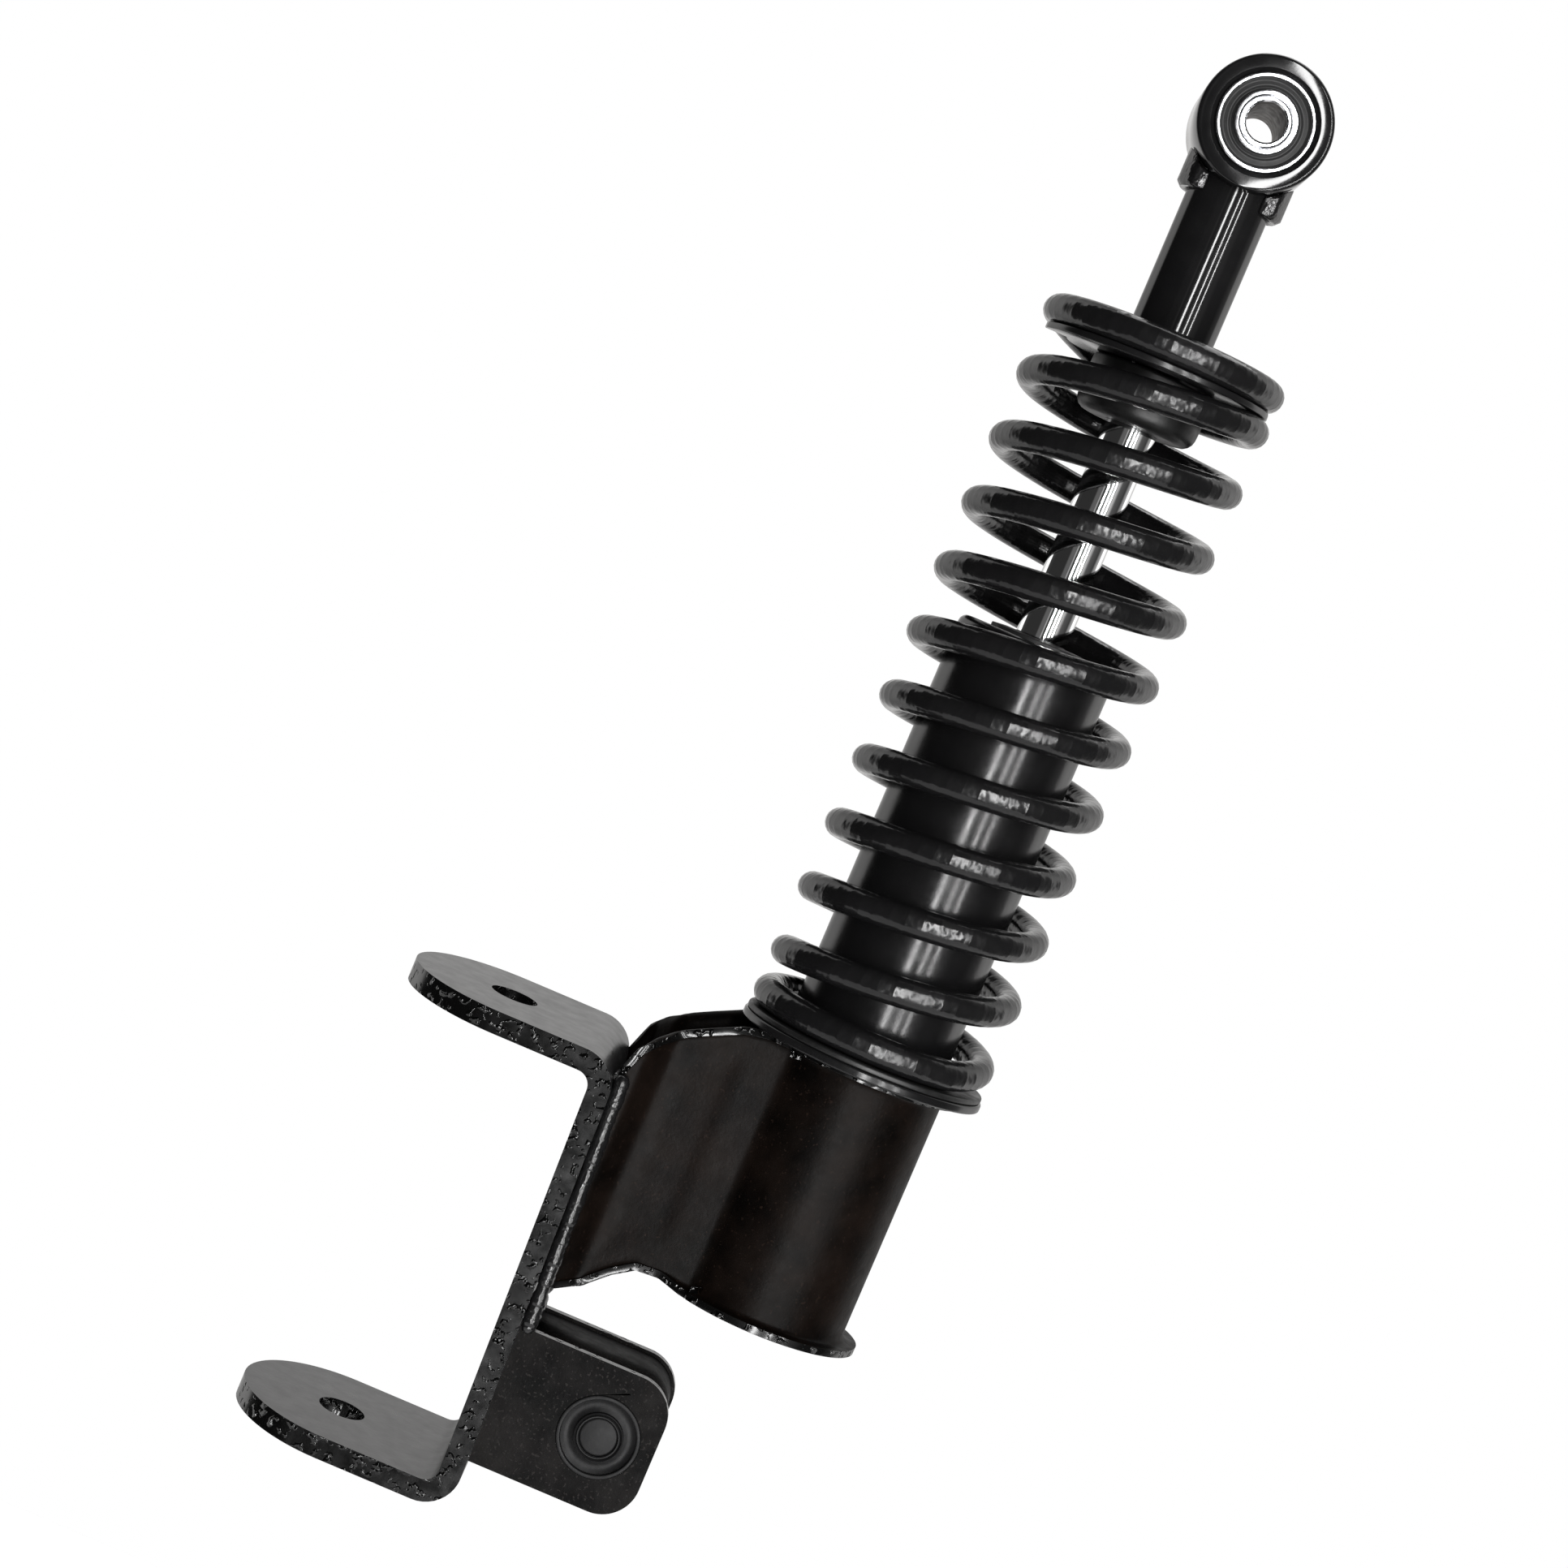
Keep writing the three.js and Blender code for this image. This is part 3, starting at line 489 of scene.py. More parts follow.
# %% [markdown]
# ## Bump stop and rod
# The stop is a moulded rubber block that the damper's top meets at the end of the stroke. The rod
# is ground to size, and its surface is the brightest on the strut.

# %% The bump stop and the rod
rod_radius, STUD = radius_of("piston_rod"), 5
ROD_CLEARANCE = 0.1
rod_bore = rod_radius + ROD_CLEARANCE
stop_radius, stop_bottom = radius_of("bump_stop"), bottom_of("bump_stop")
stop_top = top_of("bump_stop_washer")
add_piece(
    "bump_stop_block", turned([
        (rod_bore, stop_bottom, 0.6), (stop_radius - 0.5, stop_bottom, 3.2),
        (stop_radius, stop_bottom + 7, 3), (stop_radius - 0.3, stop_top, 0.8), (rod_bore, stop_top),
    ]), ["bump_stop", "bump_stop_washer"], stop_rubber,
)
rod_low, rod_high = bottom_of("piston_rod"), top_of("piston_rod")
low_shoulder, high_shoulder = bottom_of("rebound_stop_ring"), bottom_of("rod_anchor") - 0.3
add_piece(
    "chrome_rod", turned([
        (0, rod_low), (STUD, rod_low, 0.5), (STUD, low_shoulder), (rod_radius, low_shoulder, 0.4),
        (rod_radius, high_shoulder, 0.4), (STUD, high_shoulder), (STUD, rod_high, 0.5), (0, rod_high),
    ]), ["piston_rod"], rod_chrome,
)

# %% [markdown]
# ## The coil spring
# A spring is a circle carried along a helix. The spin operator does this with its dvec: each
# step turns the circle and moves it down. The pitch changes near both ends, so the spring is
# spun one step at a time. Its top turn lies on the seat and never squeezes, so it is a piece of
# its own, and only the working turns shorten with the stroke.

# %% The spring's path
STEPS = 48
WIRE = 4.05
TOUCH = 0.05
TURNS = 10
LEAD, TAIL = 0.06, 0.65
CROSS_START, CROSS_SPAN = 0.52, 0.3
mean_radius = high_corner("coil_spring").x - WIRE
clip_height = seat_top + WIRE + TOUCH
under_height = seat_under - WIRE - TOUCH
first_active = under_height + 1.4
foot_height = top_of("lower_seat_isolator") + WIRE + TOUCH
pitch = (first_active - foot_height - 2.4) / TURNS
last_turn = 1 + TURNS + TAIL


def wire_height(turn):
    """Height of the wire's centre, a number of turns down from where it starts."""
    active = first_active - pitch * (turn - 1)
    if turn <= CROSS_START:
        return clip_height
    if turn <= CROSS_START + CROSS_SPAN:
        share = (turn - CROSS_START) / CROSS_SPAN
        return clip_height + (under_height - clip_height) * share * share * (3 - 2 * share)
    if turn < 1.3:
        return min(under_height, active)
    return max(active, foot_height)


def coil(start_turn, end_turn):
    """The wire between two turns, with flat ends."""
    bm = bmesh.new()
    bmesh.ops.create_circle(bm, cap_ends=True, segments=20, radius=WIRE)
    bmesh.ops.rotate(bm, verts=bm.verts, cent=(0, 0, 0), matrix=Matrix.Rotation(math.pi / 2, 3, "X"))
    bmesh.ops.translate(bm, verts=bm.verts, vec=(mean_radius, 0, wire_height(start_turn)))
    bmesh.ops.rotate(
        bm, verts=bm.verts, cent=(0, 0, 0), matrix=Matrix.Rotation(-2 * math.pi * start_turn, 3, "Z")
    )
    count = round((end_turn - start_turn) * STEPS)
    front = bm.faces[:]
    for i in range(count):
        turn = start_turn + (end_turn - start_turn) * i / count
        after = start_turn + (end_turn - start_turn) * (i + 1) / count
        grown = bmesh.ops.spin(
            bm, geom=front, cent=(0, 0, 0), axis=(0, 0, 1), steps=1,
            angle=-2 * math.pi * (after - turn), dvec=(0, 0, wire_height(after) - wire_height(turn)),
        )
        front = [item for item in grown["geom_last"] if isinstance(item, bmesh.types.BMFace)]
    bmesh.ops.recalc_face_normals(bm, faces=bm.faces)
    return bm


# %% The two parts of the spring
SPLIT = 1.0
add_piece(
    "spring_top_turn", coil(-LEAD, SPLIT), ["coil_spring"], spring_paint
)
active_coil = add_piece(
    "spring_coil", coil(SPLIT, last_turn), ["coil_spring"], spring_paint
)
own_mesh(active_coil)
print("free wire length, mm:", round(2 * math.pi * mean_radius * (last_turn + LEAD)))

# %% [markdown]
# ## The lower seat
# A pressed ring carries the spring, with a thin isolator between them. It is loose on the
# saddle's top flange, and the spring alone holds it down.

# %% The lower seat and isolator
seat_low, seat_radius = bottom_of("lower_spring_seat"), radius_of("lower_spring_seat")
isolator_top, isolator_low = top_of("lower_seat_isolator"), bottom_of("lower_seat_isolator")
damper_radius = radius_of("damper_tube")
seat_bore, rim_radius, rim_top = damper_radius + 0.5, damper_radius + 3, top_of("lower_spring_seat")
isolator_bore, isolator_edge = damper_radius + 3.9, seat_radius - 0.5
add_piece(
    "lower_seat_ring", turned([
        (seat_bore, seat_low), (seat_radius, seat_low, 0.7), (seat_radius, isolator_low, 0.7),
        (rim_radius, isolator_low, 0.5), (rim_radius, rim_top, 0.8), (seat_bore, rim_top, 0.3),
    ]), ["lower_spring_seat"], tube_paint,
)
add_piece(
    "isolator_ring", turned([
        (isolator_bore, isolator_low), (isolator_edge, isolator_low, 0.6),
        (isolator_edge, isolator_top, 0.7), (isolator_bore, isolator_top, 0.4),
    ]), ["lower_seat_isolator"], stop_rubber,
)

# %% [markdown]
# ## The damper's outside
# The outer tube is rolled over at the top to hold the seal and the wiper. Inside it, the guide,
# the seal and the valves stay as the rough solids made them, because nothing shows them.

# %% The damper tube, its wiper and its base
DAMPER_WALL, LIP = 1.8, 14
damper_top, damper_low = top_of("damper_tube"), bottom_of("damper_tube")
damper_bore, lip_under = damper_radius - DAMPER_WALL, damper_top - DAMPER_WALL
add_piece(
    "damper_outer_tube", turned([
        (damper_bore, damper_low, 0.4), (damper_radius, damper_low, 0.5),
        (damper_radius, damper_top, 2.2), (LIP, damper_top, 0.5), (LIP, lip_under),
        (damper_bore, lip_under, 0.6),
    ], 128), ["damper_tube"], tube_paint,
)
wiper_top, wiper_low = top_of("dust_wiper"), bottom_of("dust_wiper")
wiper_foot, wiper_neck, foot_top = damper_bore - 0.3, LIP - 0.3, wiper_low + 1.8
add_piece(
    "wiper_lip", turned([
        (rod_bore, wiper_low), (wiper_foot, wiper_low), (wiper_foot, foot_top), (wiper_neck, foot_top),
        (wiper_neck, wiper_top - 0.4, 0.3), (9.5, wiper_top, 0.5), (rod_bore, wiper_top - 0.8, 0.2),
    ]), ["dust_wiper"], bush_rubber,
)
add_piece("base_plate", smoothed_copy("base_cap", 0.5), ["base_cap"], tube_paint)

# %% [markdown]
# ## The saddle bracket
# A sheet is pressed round the damper tube and its two legs run out to the king-pin bracket. The
# sheet starts as a flat grid. One direction follows the line seen from above, the other runs up
# the strut between the sheet's lower and upper edges, and the edges roll out into flanges. Only
# then does a Solidify modifier give it its 2 mm.

# %% The saddle's line seen from above
LEG_Y, KNEE_X, FOOT_X, FOOT_Y = 16.0, -47.0, -52.5, 23.0
TONGUE = 11.0
SHEET = 2.0
saddle_top, saddle_low = top_of("saddle_bracket"), bottom_of("saddle_bracket") + TONGUE
wrap_radius = damper_radius + SHEET + 0.3
WEB_FACE = -57.6


def rounded_line(points, radius, steps=8):
    """A line of points with its inner corners turned into arcs."""
    line = [Vector(points[0])]
    for before, corner, after in zip(points, points[1:], points[2:]):
        corner = Vector(corner)
        back = (Vector(before) - corner).normalized()
        ahead = (Vector(after) - corner).normalized()
        half = back.angle(ahead) / 2
        reach = min(radius / math.tan(half), 0.45 * (Vector(after) - corner).length)
        start, end = corner + back * reach, corner + ahead * reach
        for i in range(steps + 1):
            t = i / steps
            line.append(start * (1 - t) ** 2 + corner * 2 * t * (1 - t) + end * t * t)
    line.append(Vector(points[-1]))
    return line


leg_middle = LEG_Y + SHEET / 2
crease = math.asin(leg_middle / wrap_radius)
half_turn = [
    (wrap_radius * math.cos(a), wrap_radius * math.sin(a))
    for a in [i * (math.pi - crease) / 40 for i in range(41)]
]
leg_line = [
    half_turn[-1], (KNEE_X, leg_middle), (FOOT_X, FOOT_Y + 1), (WEB_FACE + 0.8, FOOT_Y + 1.2)
]
leg_line = rounded_line([half_turn[-2], *leg_line], 5.0)[1:]


def spaced(line, step):
    """The same line with points no further apart than a step."""
    even = [Vector(line[0])]
    for a, b in zip(line, line[1:]):
        a, b = Vector(a), Vector(b)
        count = max(1, math.ceil((b - a).length / step))
        even += [a.lerp(b, (i + 1) / count) for i in range(count)]
    return even


far_side = spaced(half_turn[:-1] + leg_line, 1.2)
near_side = [Vector((p.x, -p.y)) for p in far_side]
saddle_line = near_side[::-1] + far_side[1:]
print("saddle sheet, mm long:", round(sum((b - a).length for a, b in zip(saddle_line, saddle_line[1:]))))


# %% The saddle's edges and its pressed panel
def eased(low_value, high_value, value):
    """A smooth step from 0 to 1 as the value goes from one end to the other."""
    share = min(max((value - low_value) / (high_value - low_value), 0), 1)
    return share * share * (3 - 2 * share)


def follow(points, x):
    """Height on a line of (x, height) points that runs towards -X."""
    for (x0, z0), (x1, z1) in zip(points, points[1:]):
        if x >= x1:
            return z0 + (z1 - z0) * min(max((x0 - x) / (x0 - x1), 0), 1)
    return points[-1][1]


def upper_edge(x):
    """The sheet's top falls away along the leg, first gently and then to the bracket."""
    drop = [
        (0, 0), (-25, 0), (-31, 1.4), (-40, 5.8), (-47, 9.4), (-50.5, 12), (-53.5, 15.8), (-57.5, 27)
    ]
    return saddle_top - follow(drop, x)


def lower_edge(x):
    """The sheet's lower edge arches up under the leg and comes down into the tongue."""
    fall = [
        (0, 0), (-20, 0), (-27, -1.5), (-34, -1.0), (-40, 3.0), (-46, 8.6), (-52, 10.8), (-57.5, 10.4)
    ]
    return saddle_low - follow(fall, x)


FLANGE = 4.4
PANEL_DEPTH = 0.35
edge_roll = [(1.0, 0.0), (0.6, 0.0), (0.3, 0.12), (0.12, 0.5), (0.03, 1.2), (0.0, 2.2)]


def flange_width(x, top):
    """How far the edge rolls out here: widest round the tube, narrow along the legs."""
    if top:
        return FLANGE * (1 - 0.7 * eased(-18, -34, x)) * (1 - 0.8 * eased(-46, -56, x))
    return FLANGE * (1 - 0.78 * eased(-16, -28, x)) * (1 - 0.8 * eased(-46, -56, x))


def saddle_point(along, row, rows):
    """Where one corner of the grid goes: the place on the line, the height, and the press's marks."""
    here = saddle_line[along]
    before, after = saddle_line[max(along - 1, 0)], saddle_line[min(along + 1, len(saddle_line) - 1)]
    tangent = (after - before).normalized()
    outward = Vector((tangent.y, -tangent.x))
    top, bottom = upper_edge(here.x), lower_edge(here.x)
    rolled = len(edge_roll)
    if row < rolled:
        push, step = edge_roll[row]
        offset, z = push * flange_width(here.x, False), bottom + 1.0 + step
    elif row > rows - rolled:
        push, step = edge_roll[rows - row]
        offset, z = push * flange_width(here.x, True), top - 1.0 - step
    else:
        share = (row - rolled + 1) / (rows - 2 * rolled + 2)
        offset, z = 0.0, bottom + 3.2 + (top - bottom - 6.4) * share
    panel = eased(-27, -33, here.x) * eased(-47, -41, here.x)
    panel *= eased(bottom + 5, bottom + 13, z) * eased(top - 4, top - 12, z)
    offset -= PANEL_DEPTH * panel
    return Vector((here.x + outward.x * offset, here.y + outward.y * offset, z))


# %% The saddle itself
ROWS = 56
bm = bmesh.new()
bmesh.ops.create_grid(bm, x_segments=len(saddle_line) - 1, y_segments=ROWS, size=1)
for vert in bm.verts:
    along = round((vert.co.x + 1) / 2 * (len(saddle_line) - 1))
    row = round((vert.co.y + 1) / 2 * ROWS)
    vert.co = saddle_point(along, row, ROWS)
outside = max(bm.faces, key=lambda face: face.calc_center_median().x)
if outside.normal.x < 0:
    bmesh.ops.reverse_faces(bm, faces=bm.faces)
saddle_piece = add_piece("saddle", bm, ["saddle_bracket"], saddle_paint)
add_modifier(saddle_piece, "SOLIDIFY", thickness=SHEET * MM, offset=-1)
rough_edges(saddle_piece)
add_modifier(
    saddle_piece, "BEVEL", width=0.45 * MM, segments=2, limit_method="ANGLE",
    angle_limit=math.radians(60),
)

# %% [markdown]
# ## Plates cut from flat stock
# The king-pin bracket and the box's cheeks start flat, as they do in the shop. An outline and the
# circles of its holes are filled in one step, which leaves the holes open. The plate is bent, if
# it has bends, while it has no thickness. Solidify then makes it a plate and Bevel breaks its edges.

# %% Flat plates with holes
def closed_loop(bm, points):
    """A loop of edges through flat points."""
    verts = [bm.verts.new((x, y, 0)) for x, y in points]
    return [bm.edges.new((a, b)) for a, b in zip(verts, verts[1:] + verts[:1])]


def flat_plate(outline, holes):
    """A flat sheet on the ground plane, with round holes given as (x, y, radius)."""
    bm = bmesh.new()
    edges = closed_loop(bm, outline)
    for x, y, radius in holes:
        ring = bmesh.ops.create_circle(bm, segments=64, radius=radius)
        bmesh.ops.translate(bm, verts=ring["verts"], vec=(x, y, 0))
    bmesh.ops.triangle_fill(bm, use_beauty=False, use_dissolve=False, edges=bm.edges[:])
    bmesh.ops.recalc_face_normals(bm, faces=bm.faces)
    return bm


def arc_points(cx, cy, radius, start, end, steps=40):
    """Points on an arc between two angles in degrees."""
    angles = [math.radians(start + (end - start) * i / steps) for i in range(steps + 1)]
    return [(cx + radius * math.cos(a), cy + radius * math.sin(a)) for a in angles]


# %% [markdown]
# ## The king-pin bracket
# A 6 mm plate with two rounded ears is bent twice into a C, and the king pin goes through both
# ears. Rows of cuts across the flat plate let it bend smoothly, and every corner is then carried
# round the bends by its distance along the plate. The bent plate is tilted a little about X, which
# is the king pin's caster, so its true size is worked out from the box of the tilted rough solid.

# %% How the plate is bent
CASTER = math.radians(2.4)
UPPER_CORNER_X, LOWER_CORNER_X = -60.51, -56.91
HOLE_X = -91.0
PLATE = 6.0
HOLE = 6.5
BEND = 4.0 + PLATE / 2
bracket_top, bracket_bottom = top_of("king_pin_bracket"), bottom_of("king_pin_bracket")
ear_tip = low_corner("king_pin_bracket").x
wide, high_half = high_corner("king_pin_bracket").y, (bracket_top - bracket_bottom) / 2
bracket_middle = bracket_top - high_half
c, s = math.cos(CASTER), math.sin(CASTER)
plate_half = (wide * c - high_half * s) / math.cos(2 * CASTER)
square_half = (high_half * c - wide * s) / math.cos(2 * CASTER)
upper_mid = bracket_middle + square_half - PLATE / 2
lower_mid = bracket_middle - square_half + PLATE / 2
corner_top = Vector((UPPER_CORNER_X, upper_mid))
corner_low = Vector((LOWER_CORNER_X, lower_mid))
lean = math.atan2(corner_low.x - corner_top.x, corner_top.y - corner_low.y)
turn_top, turn_low = math.pi / 2 - lean, math.pi / 2 + lean
trim_top, trim_low = BEND * math.tan(turn_top / 2), BEND * math.tan(turn_low / 2)
runs = [
    ("straight", corner_top.x - trim_top - ear_tip),
    ("bend", turn_top),
    ("straight", (corner_low - corner_top).length - trim_top - trim_low),
    ("bend", turn_low),
    ("straight", corner_low.x - trim_low - ear_tip),
]
lengths = [size if kind == "straight" else BEND * size for kind, size in runs]
blank_length = sum(lengths)
print("bracket blank, mm:", round(blank_length, 1), "x", round(2 * plate_half, 1))


def bent(distance):
    """The point this far along the bent plate, as (x, z)."""
    place, heading = Vector((ear_tip, upper_mid)), 0.0
    for (kind, size), run in zip(runs, lengths):
        step = min(distance, run)
        if kind == "straight":
            place = place + step * Vector((math.cos(heading), math.sin(heading)))
        else:
            inward = Vector((math.sin(heading), -math.cos(heading)))
            centre = place + BEND * inward
            swing = step / BEND
            place = centre - BEND * Vector((math.sin(heading - swing), -math.cos(heading - swing)))
            heading -= swing
        distance -= step
        if distance <= 0:
            break
    return place


# %% The bracket itself
outline = [
    *arc_points(plate_half, 0, plate_half, 270, 90),
    *arc_points(blank_length - plate_half, 0, plate_half, 90, -90),
]
from_tip = HOLE_X - ear_tip
bm = flat_plate(outline, [(from_tip, 0, HOLE), (blank_length - from_tip, 0, HOLE)])
cuts, reached = [], 0.0
for (kind, _), run in zip(runs, lengths):
    if kind == "bend":
        cuts += [reached + run * i / 10 for i in range(11)]
    reached += run
for cut in cuts:
    bmesh.ops.bisect_plane(
        bm, geom=bm.verts[:] + bm.edges[:] + bm.faces[:], plane_co=(cut, 0, 0), plane_no=(1, 0, 0)
    )
for vert in bm.verts:
    place = bent(vert.co.x)
    vert.co = (place.x, vert.co.y, place.y)
bmesh.ops.rotate(
    bm, verts=bm.verts, cent=(0, 0, bracket_middle), matrix=Matrix.Rotation(CASTER, 3, "X")
)
outside = max(bm.faces, key=lambda face: face.calc_center_median().z)
if outside.normal.z < 0:
    bmesh.ops.reverse_faces(bm, faces=bm.faces)
bracket = add_piece("king_pin_plate", bm, ["king_pin_bracket"], bracket_paint, 30)
add_modifier(bracket, "SOLIDIFY", thickness=PLATE * MM, offset=0, use_even_offset=True)
rough_edges(bracket)
add_modifier(
    bracket, "BEVEL", width=0.7 * MM, segments=3, limit_method="ANGLE", angle_limit=math.radians(55),
    harden_normals=True,
)

# %% [markdown]
# ## The pivot box
# Two cheeks and a strap bent round between them make a box that holds the lower bush. The strap is
# set in from the cheeks, so a bright line runs beside each cheek's edge.

# %% The box's outline
box_low_corner, box_high_corner = low_corner("box_front_cheek"), high_corner("box_front_cheek")
box_half = high_corner("box_rear_cheek").y
box_right, box_top, box_low = box_high_corner.x, box_high_corner.z, box_low_corner.z
CORNER = 10.5
CHEEK = 3.0
STRAP = 3.0
LEFT_LOW, LEFT_TOP = -54.6, -55.6


def box_outline(inset):
    """The cheek's outline seen from the front, or the strap's when it is set in."""
    right, top, low_edge = box_right - inset, box_top - inset, box_low + inset
    radius = CORNER - inset
    return [
        (LEFT_LOW, low_edge),
        *arc_points(right - radius, low_edge + radius, radius, -90, 0, 16),
        *arc_points(right - radius, top - radius, radius, 0, 90, 16),
        (LEFT_TOP, top),
    ]


# %% The cheeks and the strap
bush_centre = (low_corner("pivot_shell") + high_corner("pivot_shell")) / 2
bush_radius, bush_half = radius_of("pivot_shell") - bush_centre.x, high_corner("pivot_shell").y
for name, node, side in (("front", "box_front_cheek", -1), ("rear", "box_rear_cheek", 1)):
    bm = flat_plate(box_outline(0), [(bush_centre.x, bush_centre.z, bush_radius + 0.1)])
    bmesh.ops.rotate(bm, verts=bm.verts, cent=(0, 0, 0), matrix=Matrix.Rotation(math.pi / 2, 3, "X"))
    bmesh.ops.translate(bm, verts=bm.verts, vec=(0, side * (box_half - CHEEK / 2), 0))
    cheek = add_piece(f"box_{name}_plate", bm, [node], box_paint, 30)
    add_modifier(cheek, "SOLIDIFY", thickness=CHEEK * MM, offset=0)
    rough_edges(cheek)
    add_modifier(
        cheek, "BEVEL", width=0.5 * MM, segments=3, limit_method="ANGLE", angle_limit=math.radians(55),
        harden_normals=True,
    )

bm = bmesh.new()
line = box_outline(0.9)
strap_half = box_half - CHEEK - TOUCH
verts = [bm.verts.new((x, -strap_half, z)) for x, z in line]
edges = [bm.edges.new(pair) for pair in zip(verts, verts[1:])]
grown = bmesh.ops.extrude_edge_only(bm, edges=edges)
moved = [item for item in grown["geom"] if isinstance(item, bmesh.types.BMVert)]
bmesh.ops.translate(bm, verts=moved, vec=(0, 2 * strap_half, 0))
bmesh.ops.recalc_face_normals(bm, faces=bm.faces)
outside = max(bm.faces, key=lambda face: face.calc_center_median().x)
if outside.normal.x < 0:
    bmesh.ops.reverse_faces(bm, faces=bm.faces)
strap = add_piece("box_strap_plate", bm, ["box_strap"], box_paint, 30)
add_modifier(strap, "SOLIDIFY", thickness=STRAP * MM, offset=-1)

# %% [markdown]
# ## The pivot bush
# The same kind of bush as in the eye, but all of it is painted over with the box, and its centre
# is closed by a plug at each end.

# %% The pivot bush and its plugs
PIVOT_BORE = 5.15
shell_bore = bush_radius - SHELL_WALL
centre = (bush_centre.x, 0, bush_centre.z)
pivot_radius = radius_of("pivot_sleeve") - bush_centre.x
add_piece(
    "pivot_shell_ring", lay_along_y(turned([
        (shell_bore, -bush_half, 0.3), (bush_radius, -bush_half, 0.4),
        (bush_radius, bush_half, 0.4), (shell_bore, bush_half, 0.3),
    ]), centre), ["pivot_shell"], bush_paint,
)
rubber_half = high_corner("pivot_rubber").y
middle = (pivot_radius + shell_bore) / 2
add_piece(
    "pivot_rubber_ring", lay_along_y(turned([
        (pivot_radius + 0.02, -rubber_half - 0.3), (middle, -rubber_half + 0.6, 1),
        (shell_bore - 0.02, -rubber_half - 0.3), (shell_bore - 0.02, rubber_half + 0.3),
        (middle, rubber_half - 0.6, 1), (pivot_radius + 0.02, rubber_half + 0.3),
    ]), centre), ["pivot_rubber"], bush_paint,
)
add_piece(
    "pivot_bolt_sleeve", bolt_sleeve(pivot_radius, PIVOT_BORE, high_corner("pivot_sleeve").y, centre),
    ["pivot_sleeve"], bush_paint,
)
edge = PIVOT_BORE - TOUCH
for name, node in (("front", "pivot_front_plug"), ("rear", "pivot_rear_plug")):
    near, far = low_corner(node).y, high_corner(node).y
    plug = turned([(0, -far), (edge, -far, 0.6), (edge, -near, 0.6), (0, -near)], 48)
    lay_along_y(plug, centre)
    add_piece(f"pivot_{name}_cap", plug, [node], bush_paint)

# %% [markdown]
# ## Weld beads
# A weld is laid as a row of overlapping drops. Each bead here is a turned bar whose section swells
# and narrows along its length, which gives it the ripples of a real run, laid in its corner.

# %% Beads
RIPPLE = 1.9


def weld_bead(start, end, radius):
    """A rippled bead between two points."""
    run = Vector(end) - Vector(start)
    length = run.length
    count = int(length / RIPPLE * 6)
    corners = [(0.0, -radius * 0.8), (radius * 0.6, -radius * 0.55)]
    for i in range(count + 1):
        along = length * i / count
        swell = abs(math.sin(math.pi * along / RIPPLE))
        wander = 0.07 * math.sin(0.41 * along) + 0.05 * math.sin(1.13 * along + 2)
        corners.append((radius * (0.84 + 0.06 * swell + wander), along))
    corners += [(radius * 0.6, length + radius * 0.55), (0.0, length + radius * 0.8)]
    bead = turned(corners, 20)
    aim = Vector((0, 0, 1)).rotation_difference(run).to_matrix()
    bmesh.ops.rotate(bead, verts=bead.verts, cent=(0, 0, 0), matrix=aim)
    bmesh.ops.translate(bead, verts=bead.verts, vec=start)
    return bead


for name, node in (("front", "saddle_front_bead"), ("rear", "saddle_rear_bead")):
    a, b = low_corner(node), high_corner(node)
    y = (a.y + b.y) / 2 - math.copysign(0.9, (a.y + b.y))
    bead = weld_bead((a.x + 1.4, y, b.z - 2.2), (b.x - 2.6, y, a.z + 2.2), 2.3)
    add_piece(f"saddle_{name}_weld", bead, [node], weld_paint, 80)

a, b = low_corner("box_top_bead"), high_corner("box_top_bead")
bead = weld_bead((a.x + 1.6, a.y + 2.2, a.z + 1.6), (a.x + 1.6, b.y - 2.2, a.z + 1.6), 2.4)
add_piece("box_top_weld", bead, ["box_top_bead"], weld_paint, 80)

# %% [markdown]
# ## What stays as it was
# The valve parts inside the damper can't be seen. They keep their rough shape and get the
# finish that the real ones have.

# %% Finishes for the hidden parts
inside = {
    "inner_steel": turned_steel, "bush_bronze": bearing_bronze, "bush_rubber": bush_rubber,
    "black_plastic": black_plastic,
}
slots = {part["node"]: part["material_slot"] for part in frame["record"]["subparts"]}
for name, node in frame["nodes"].items():
    if slots[name] in inside:
        node.data.materials.clear()
        node.data.materials.append(inside[slots[name]])

# %% [markdown]
# ## Floor, light and backdrop
# Glossy black shows nothing but what it reflects, so the light is built from shapes: tall thin
# panels in front draw bright lines down the tubes, and the walls of the room are bands of light
# and dark, which the chrome rod shows as stripes. The camera itself sees a plain white backdrop.

# %% Floor
bm = bmesh.new()
bmesh.ops.create_grid(bm, x_segments=1, y_segments=1, size=0.45)
bmesh.ops.translate(bm, verts=bm.verts, vec=(0, 0, -0.62))
floor_mesh = bpy.data.meshes.new("floor")
bm.to_mesh(floor_mesh)
bm.free()
floor = bpy.data.objects.new("floor", floor_mesh)
bpy.context.scene.collection.objects.link(floor)
floor_paint = Finish("pale_floor", Roughness=0.9, Base_Color=(0.9, 0.9, 0.9, 1))
floor_paint.shader.inputs["Emission Color"].default_value = (1, 1, 1, 1)
floor_paint.shader.inputs["Emission Strength"].default_value = 0.15
floor_mesh.materials.append(floor_paint.material)


# %% Lights
AIM = Vector((-0.03, 0, -0.2))


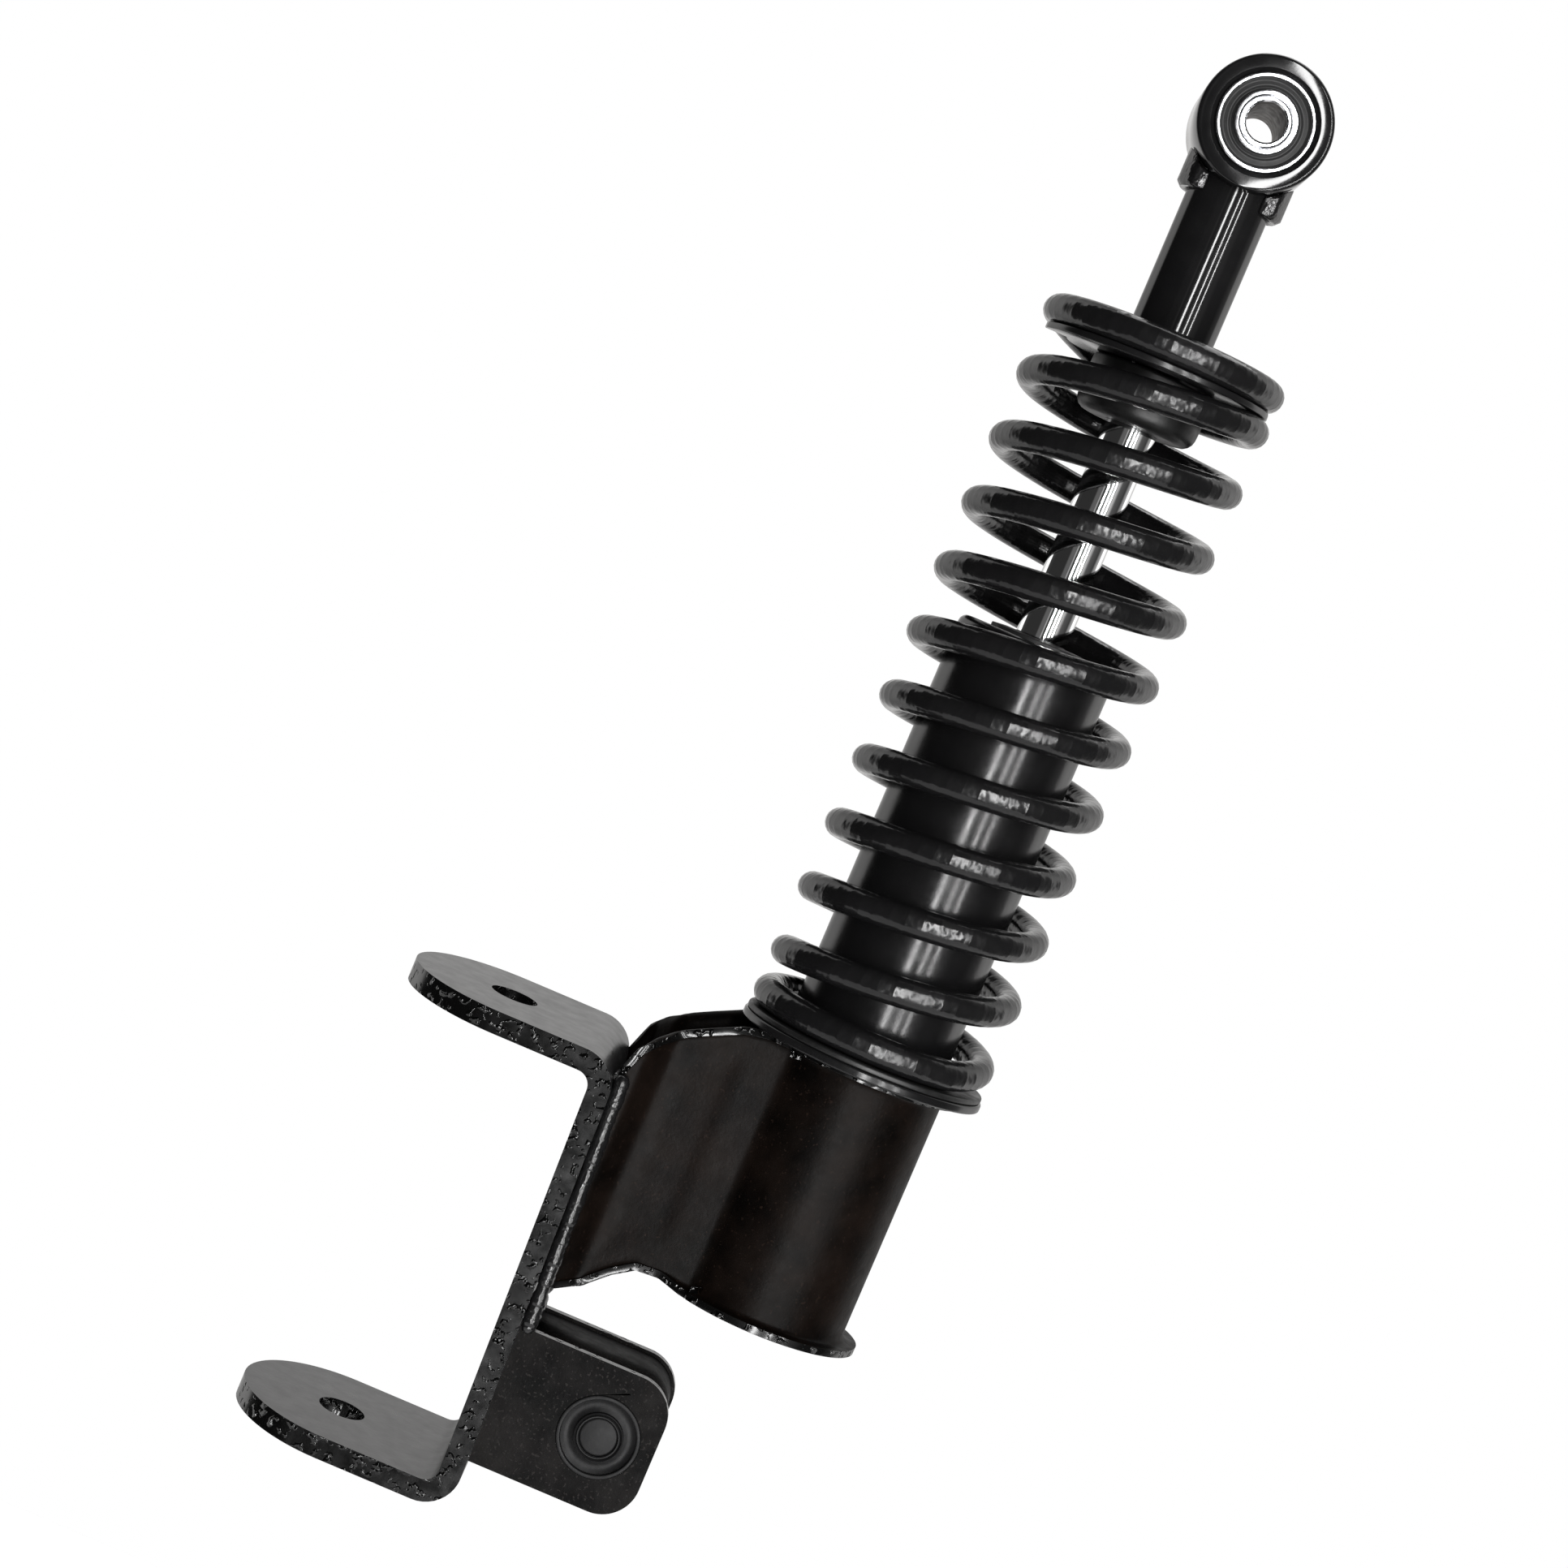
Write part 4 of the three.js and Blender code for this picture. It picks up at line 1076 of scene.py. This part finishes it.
def panel(name, azimuth, distance, height, width, tall, glow):
    """A soft panel round the strut. Azimuth 0 is in front, 90 to the right; glow is its brightness."""
    light = bpy.data.lights.new(name, "AREA")
    light.shape = "RECTANGLE"
    light.size, light.size_y = width, tall
    light.energy = glow * math.pi * width * tall
    lamp = bpy.data.objects.new(name, light)
    bpy.context.scene.collection.objects.link(lamp)
    angle = math.radians(azimuth)
    place = AIM + Vector((distance * math.sin(angle), -distance * math.cos(angle), height))
    lamp.rotation_euler = (place - AIM).to_track_quat("Z", "Y").to_euler()
    lamp.location = place
    return lamp


panel("wide_strip", 7, 1.6, 0, 0.11, 2.4, 60)
panel("thin_strip", 24, 1.6, 0, 0.05, 2.4, 80)
panel("second_thin_strip", 37, 1.6, 0, 0.04, 2.4, 80)
panel("top_panel", 160, 0.5, 1.3, 1.0, 1.0, 4)

# %% The room
WALLS = [
    (-90, 0.03), (-34, 0.03), (-28, 0.12), (-13, 0.12), (-9, 0.6), (-7, 0.05), (14, 0.05), (15, 0.5),
    (50, 0.5), (60, 0.1), (90, 0.05), (98, 0.25), (112, 0.45), (117, 1.8), (130, 1.4), (142, 0.8),
    (160, 0.6), (175, 0.9), (185, 0.9), (200, 0.6), (218, 0.8), (230, 1.4), (242, 1.8), (248, 0.05),
    (270, 0.03),
]
world = bpy.data.worlds.new("studio")
world.use_nodes = True
bpy.context.scene.world = world
tree = world.node_tree
room = tree.nodes["Background"]
direction = tree.nodes.new("ShaderNodeTexCoord")
around = tree.nodes.new("ShaderNodeTexGradient")
around.gradient_type = "RADIAL"
walls = tree.nodes.new("ShaderNodeValToRGB").color_ramp
while len(walls.elements) < len(WALLS):
    walls.elements.new(0.5)
for stop, (azimuth, glow) in zip(walls.elements, WALLS):
    stop.position = 0.25 + azimuth / 360
    stop.color = (glow, glow * 0.99, glow * 0.98, 1)
tree.links.new(direction.outputs["Generated"], around.inputs["Vector"])
tree.links.new(around.outputs["Color"], tree.nodes["Color Ramp"].inputs["Fac"])
tree.links.new(tree.nodes["Color Ramp"].outputs["Color"], room.inputs["Color"])
print("room:", len(walls.elements), "bands of light and dark")
seen = tree.nodes.new("ShaderNodeBackground")
seen.inputs["Color"].default_value = (1, 1, 1, 1)
seen.inputs["Strength"].default_value = 1.0
path = tree.nodes.new("ShaderNodeLightPath")
choose = tree.nodes.new("ShaderNodeMixShader")
tree.links.new(path.outputs["Is Camera Ray"], choose.inputs["Fac"])
tree.links.new(room.outputs["Background"], choose.inputs[1])
tree.links.new(seen.outputs["Background"], choose.inputs[2])
tree.links.new(choose.outputs["Shader"], tree.nodes["World Output"].inputs["Surface"])
bpy.context.scene.view_settings.view_transform = "Standard"
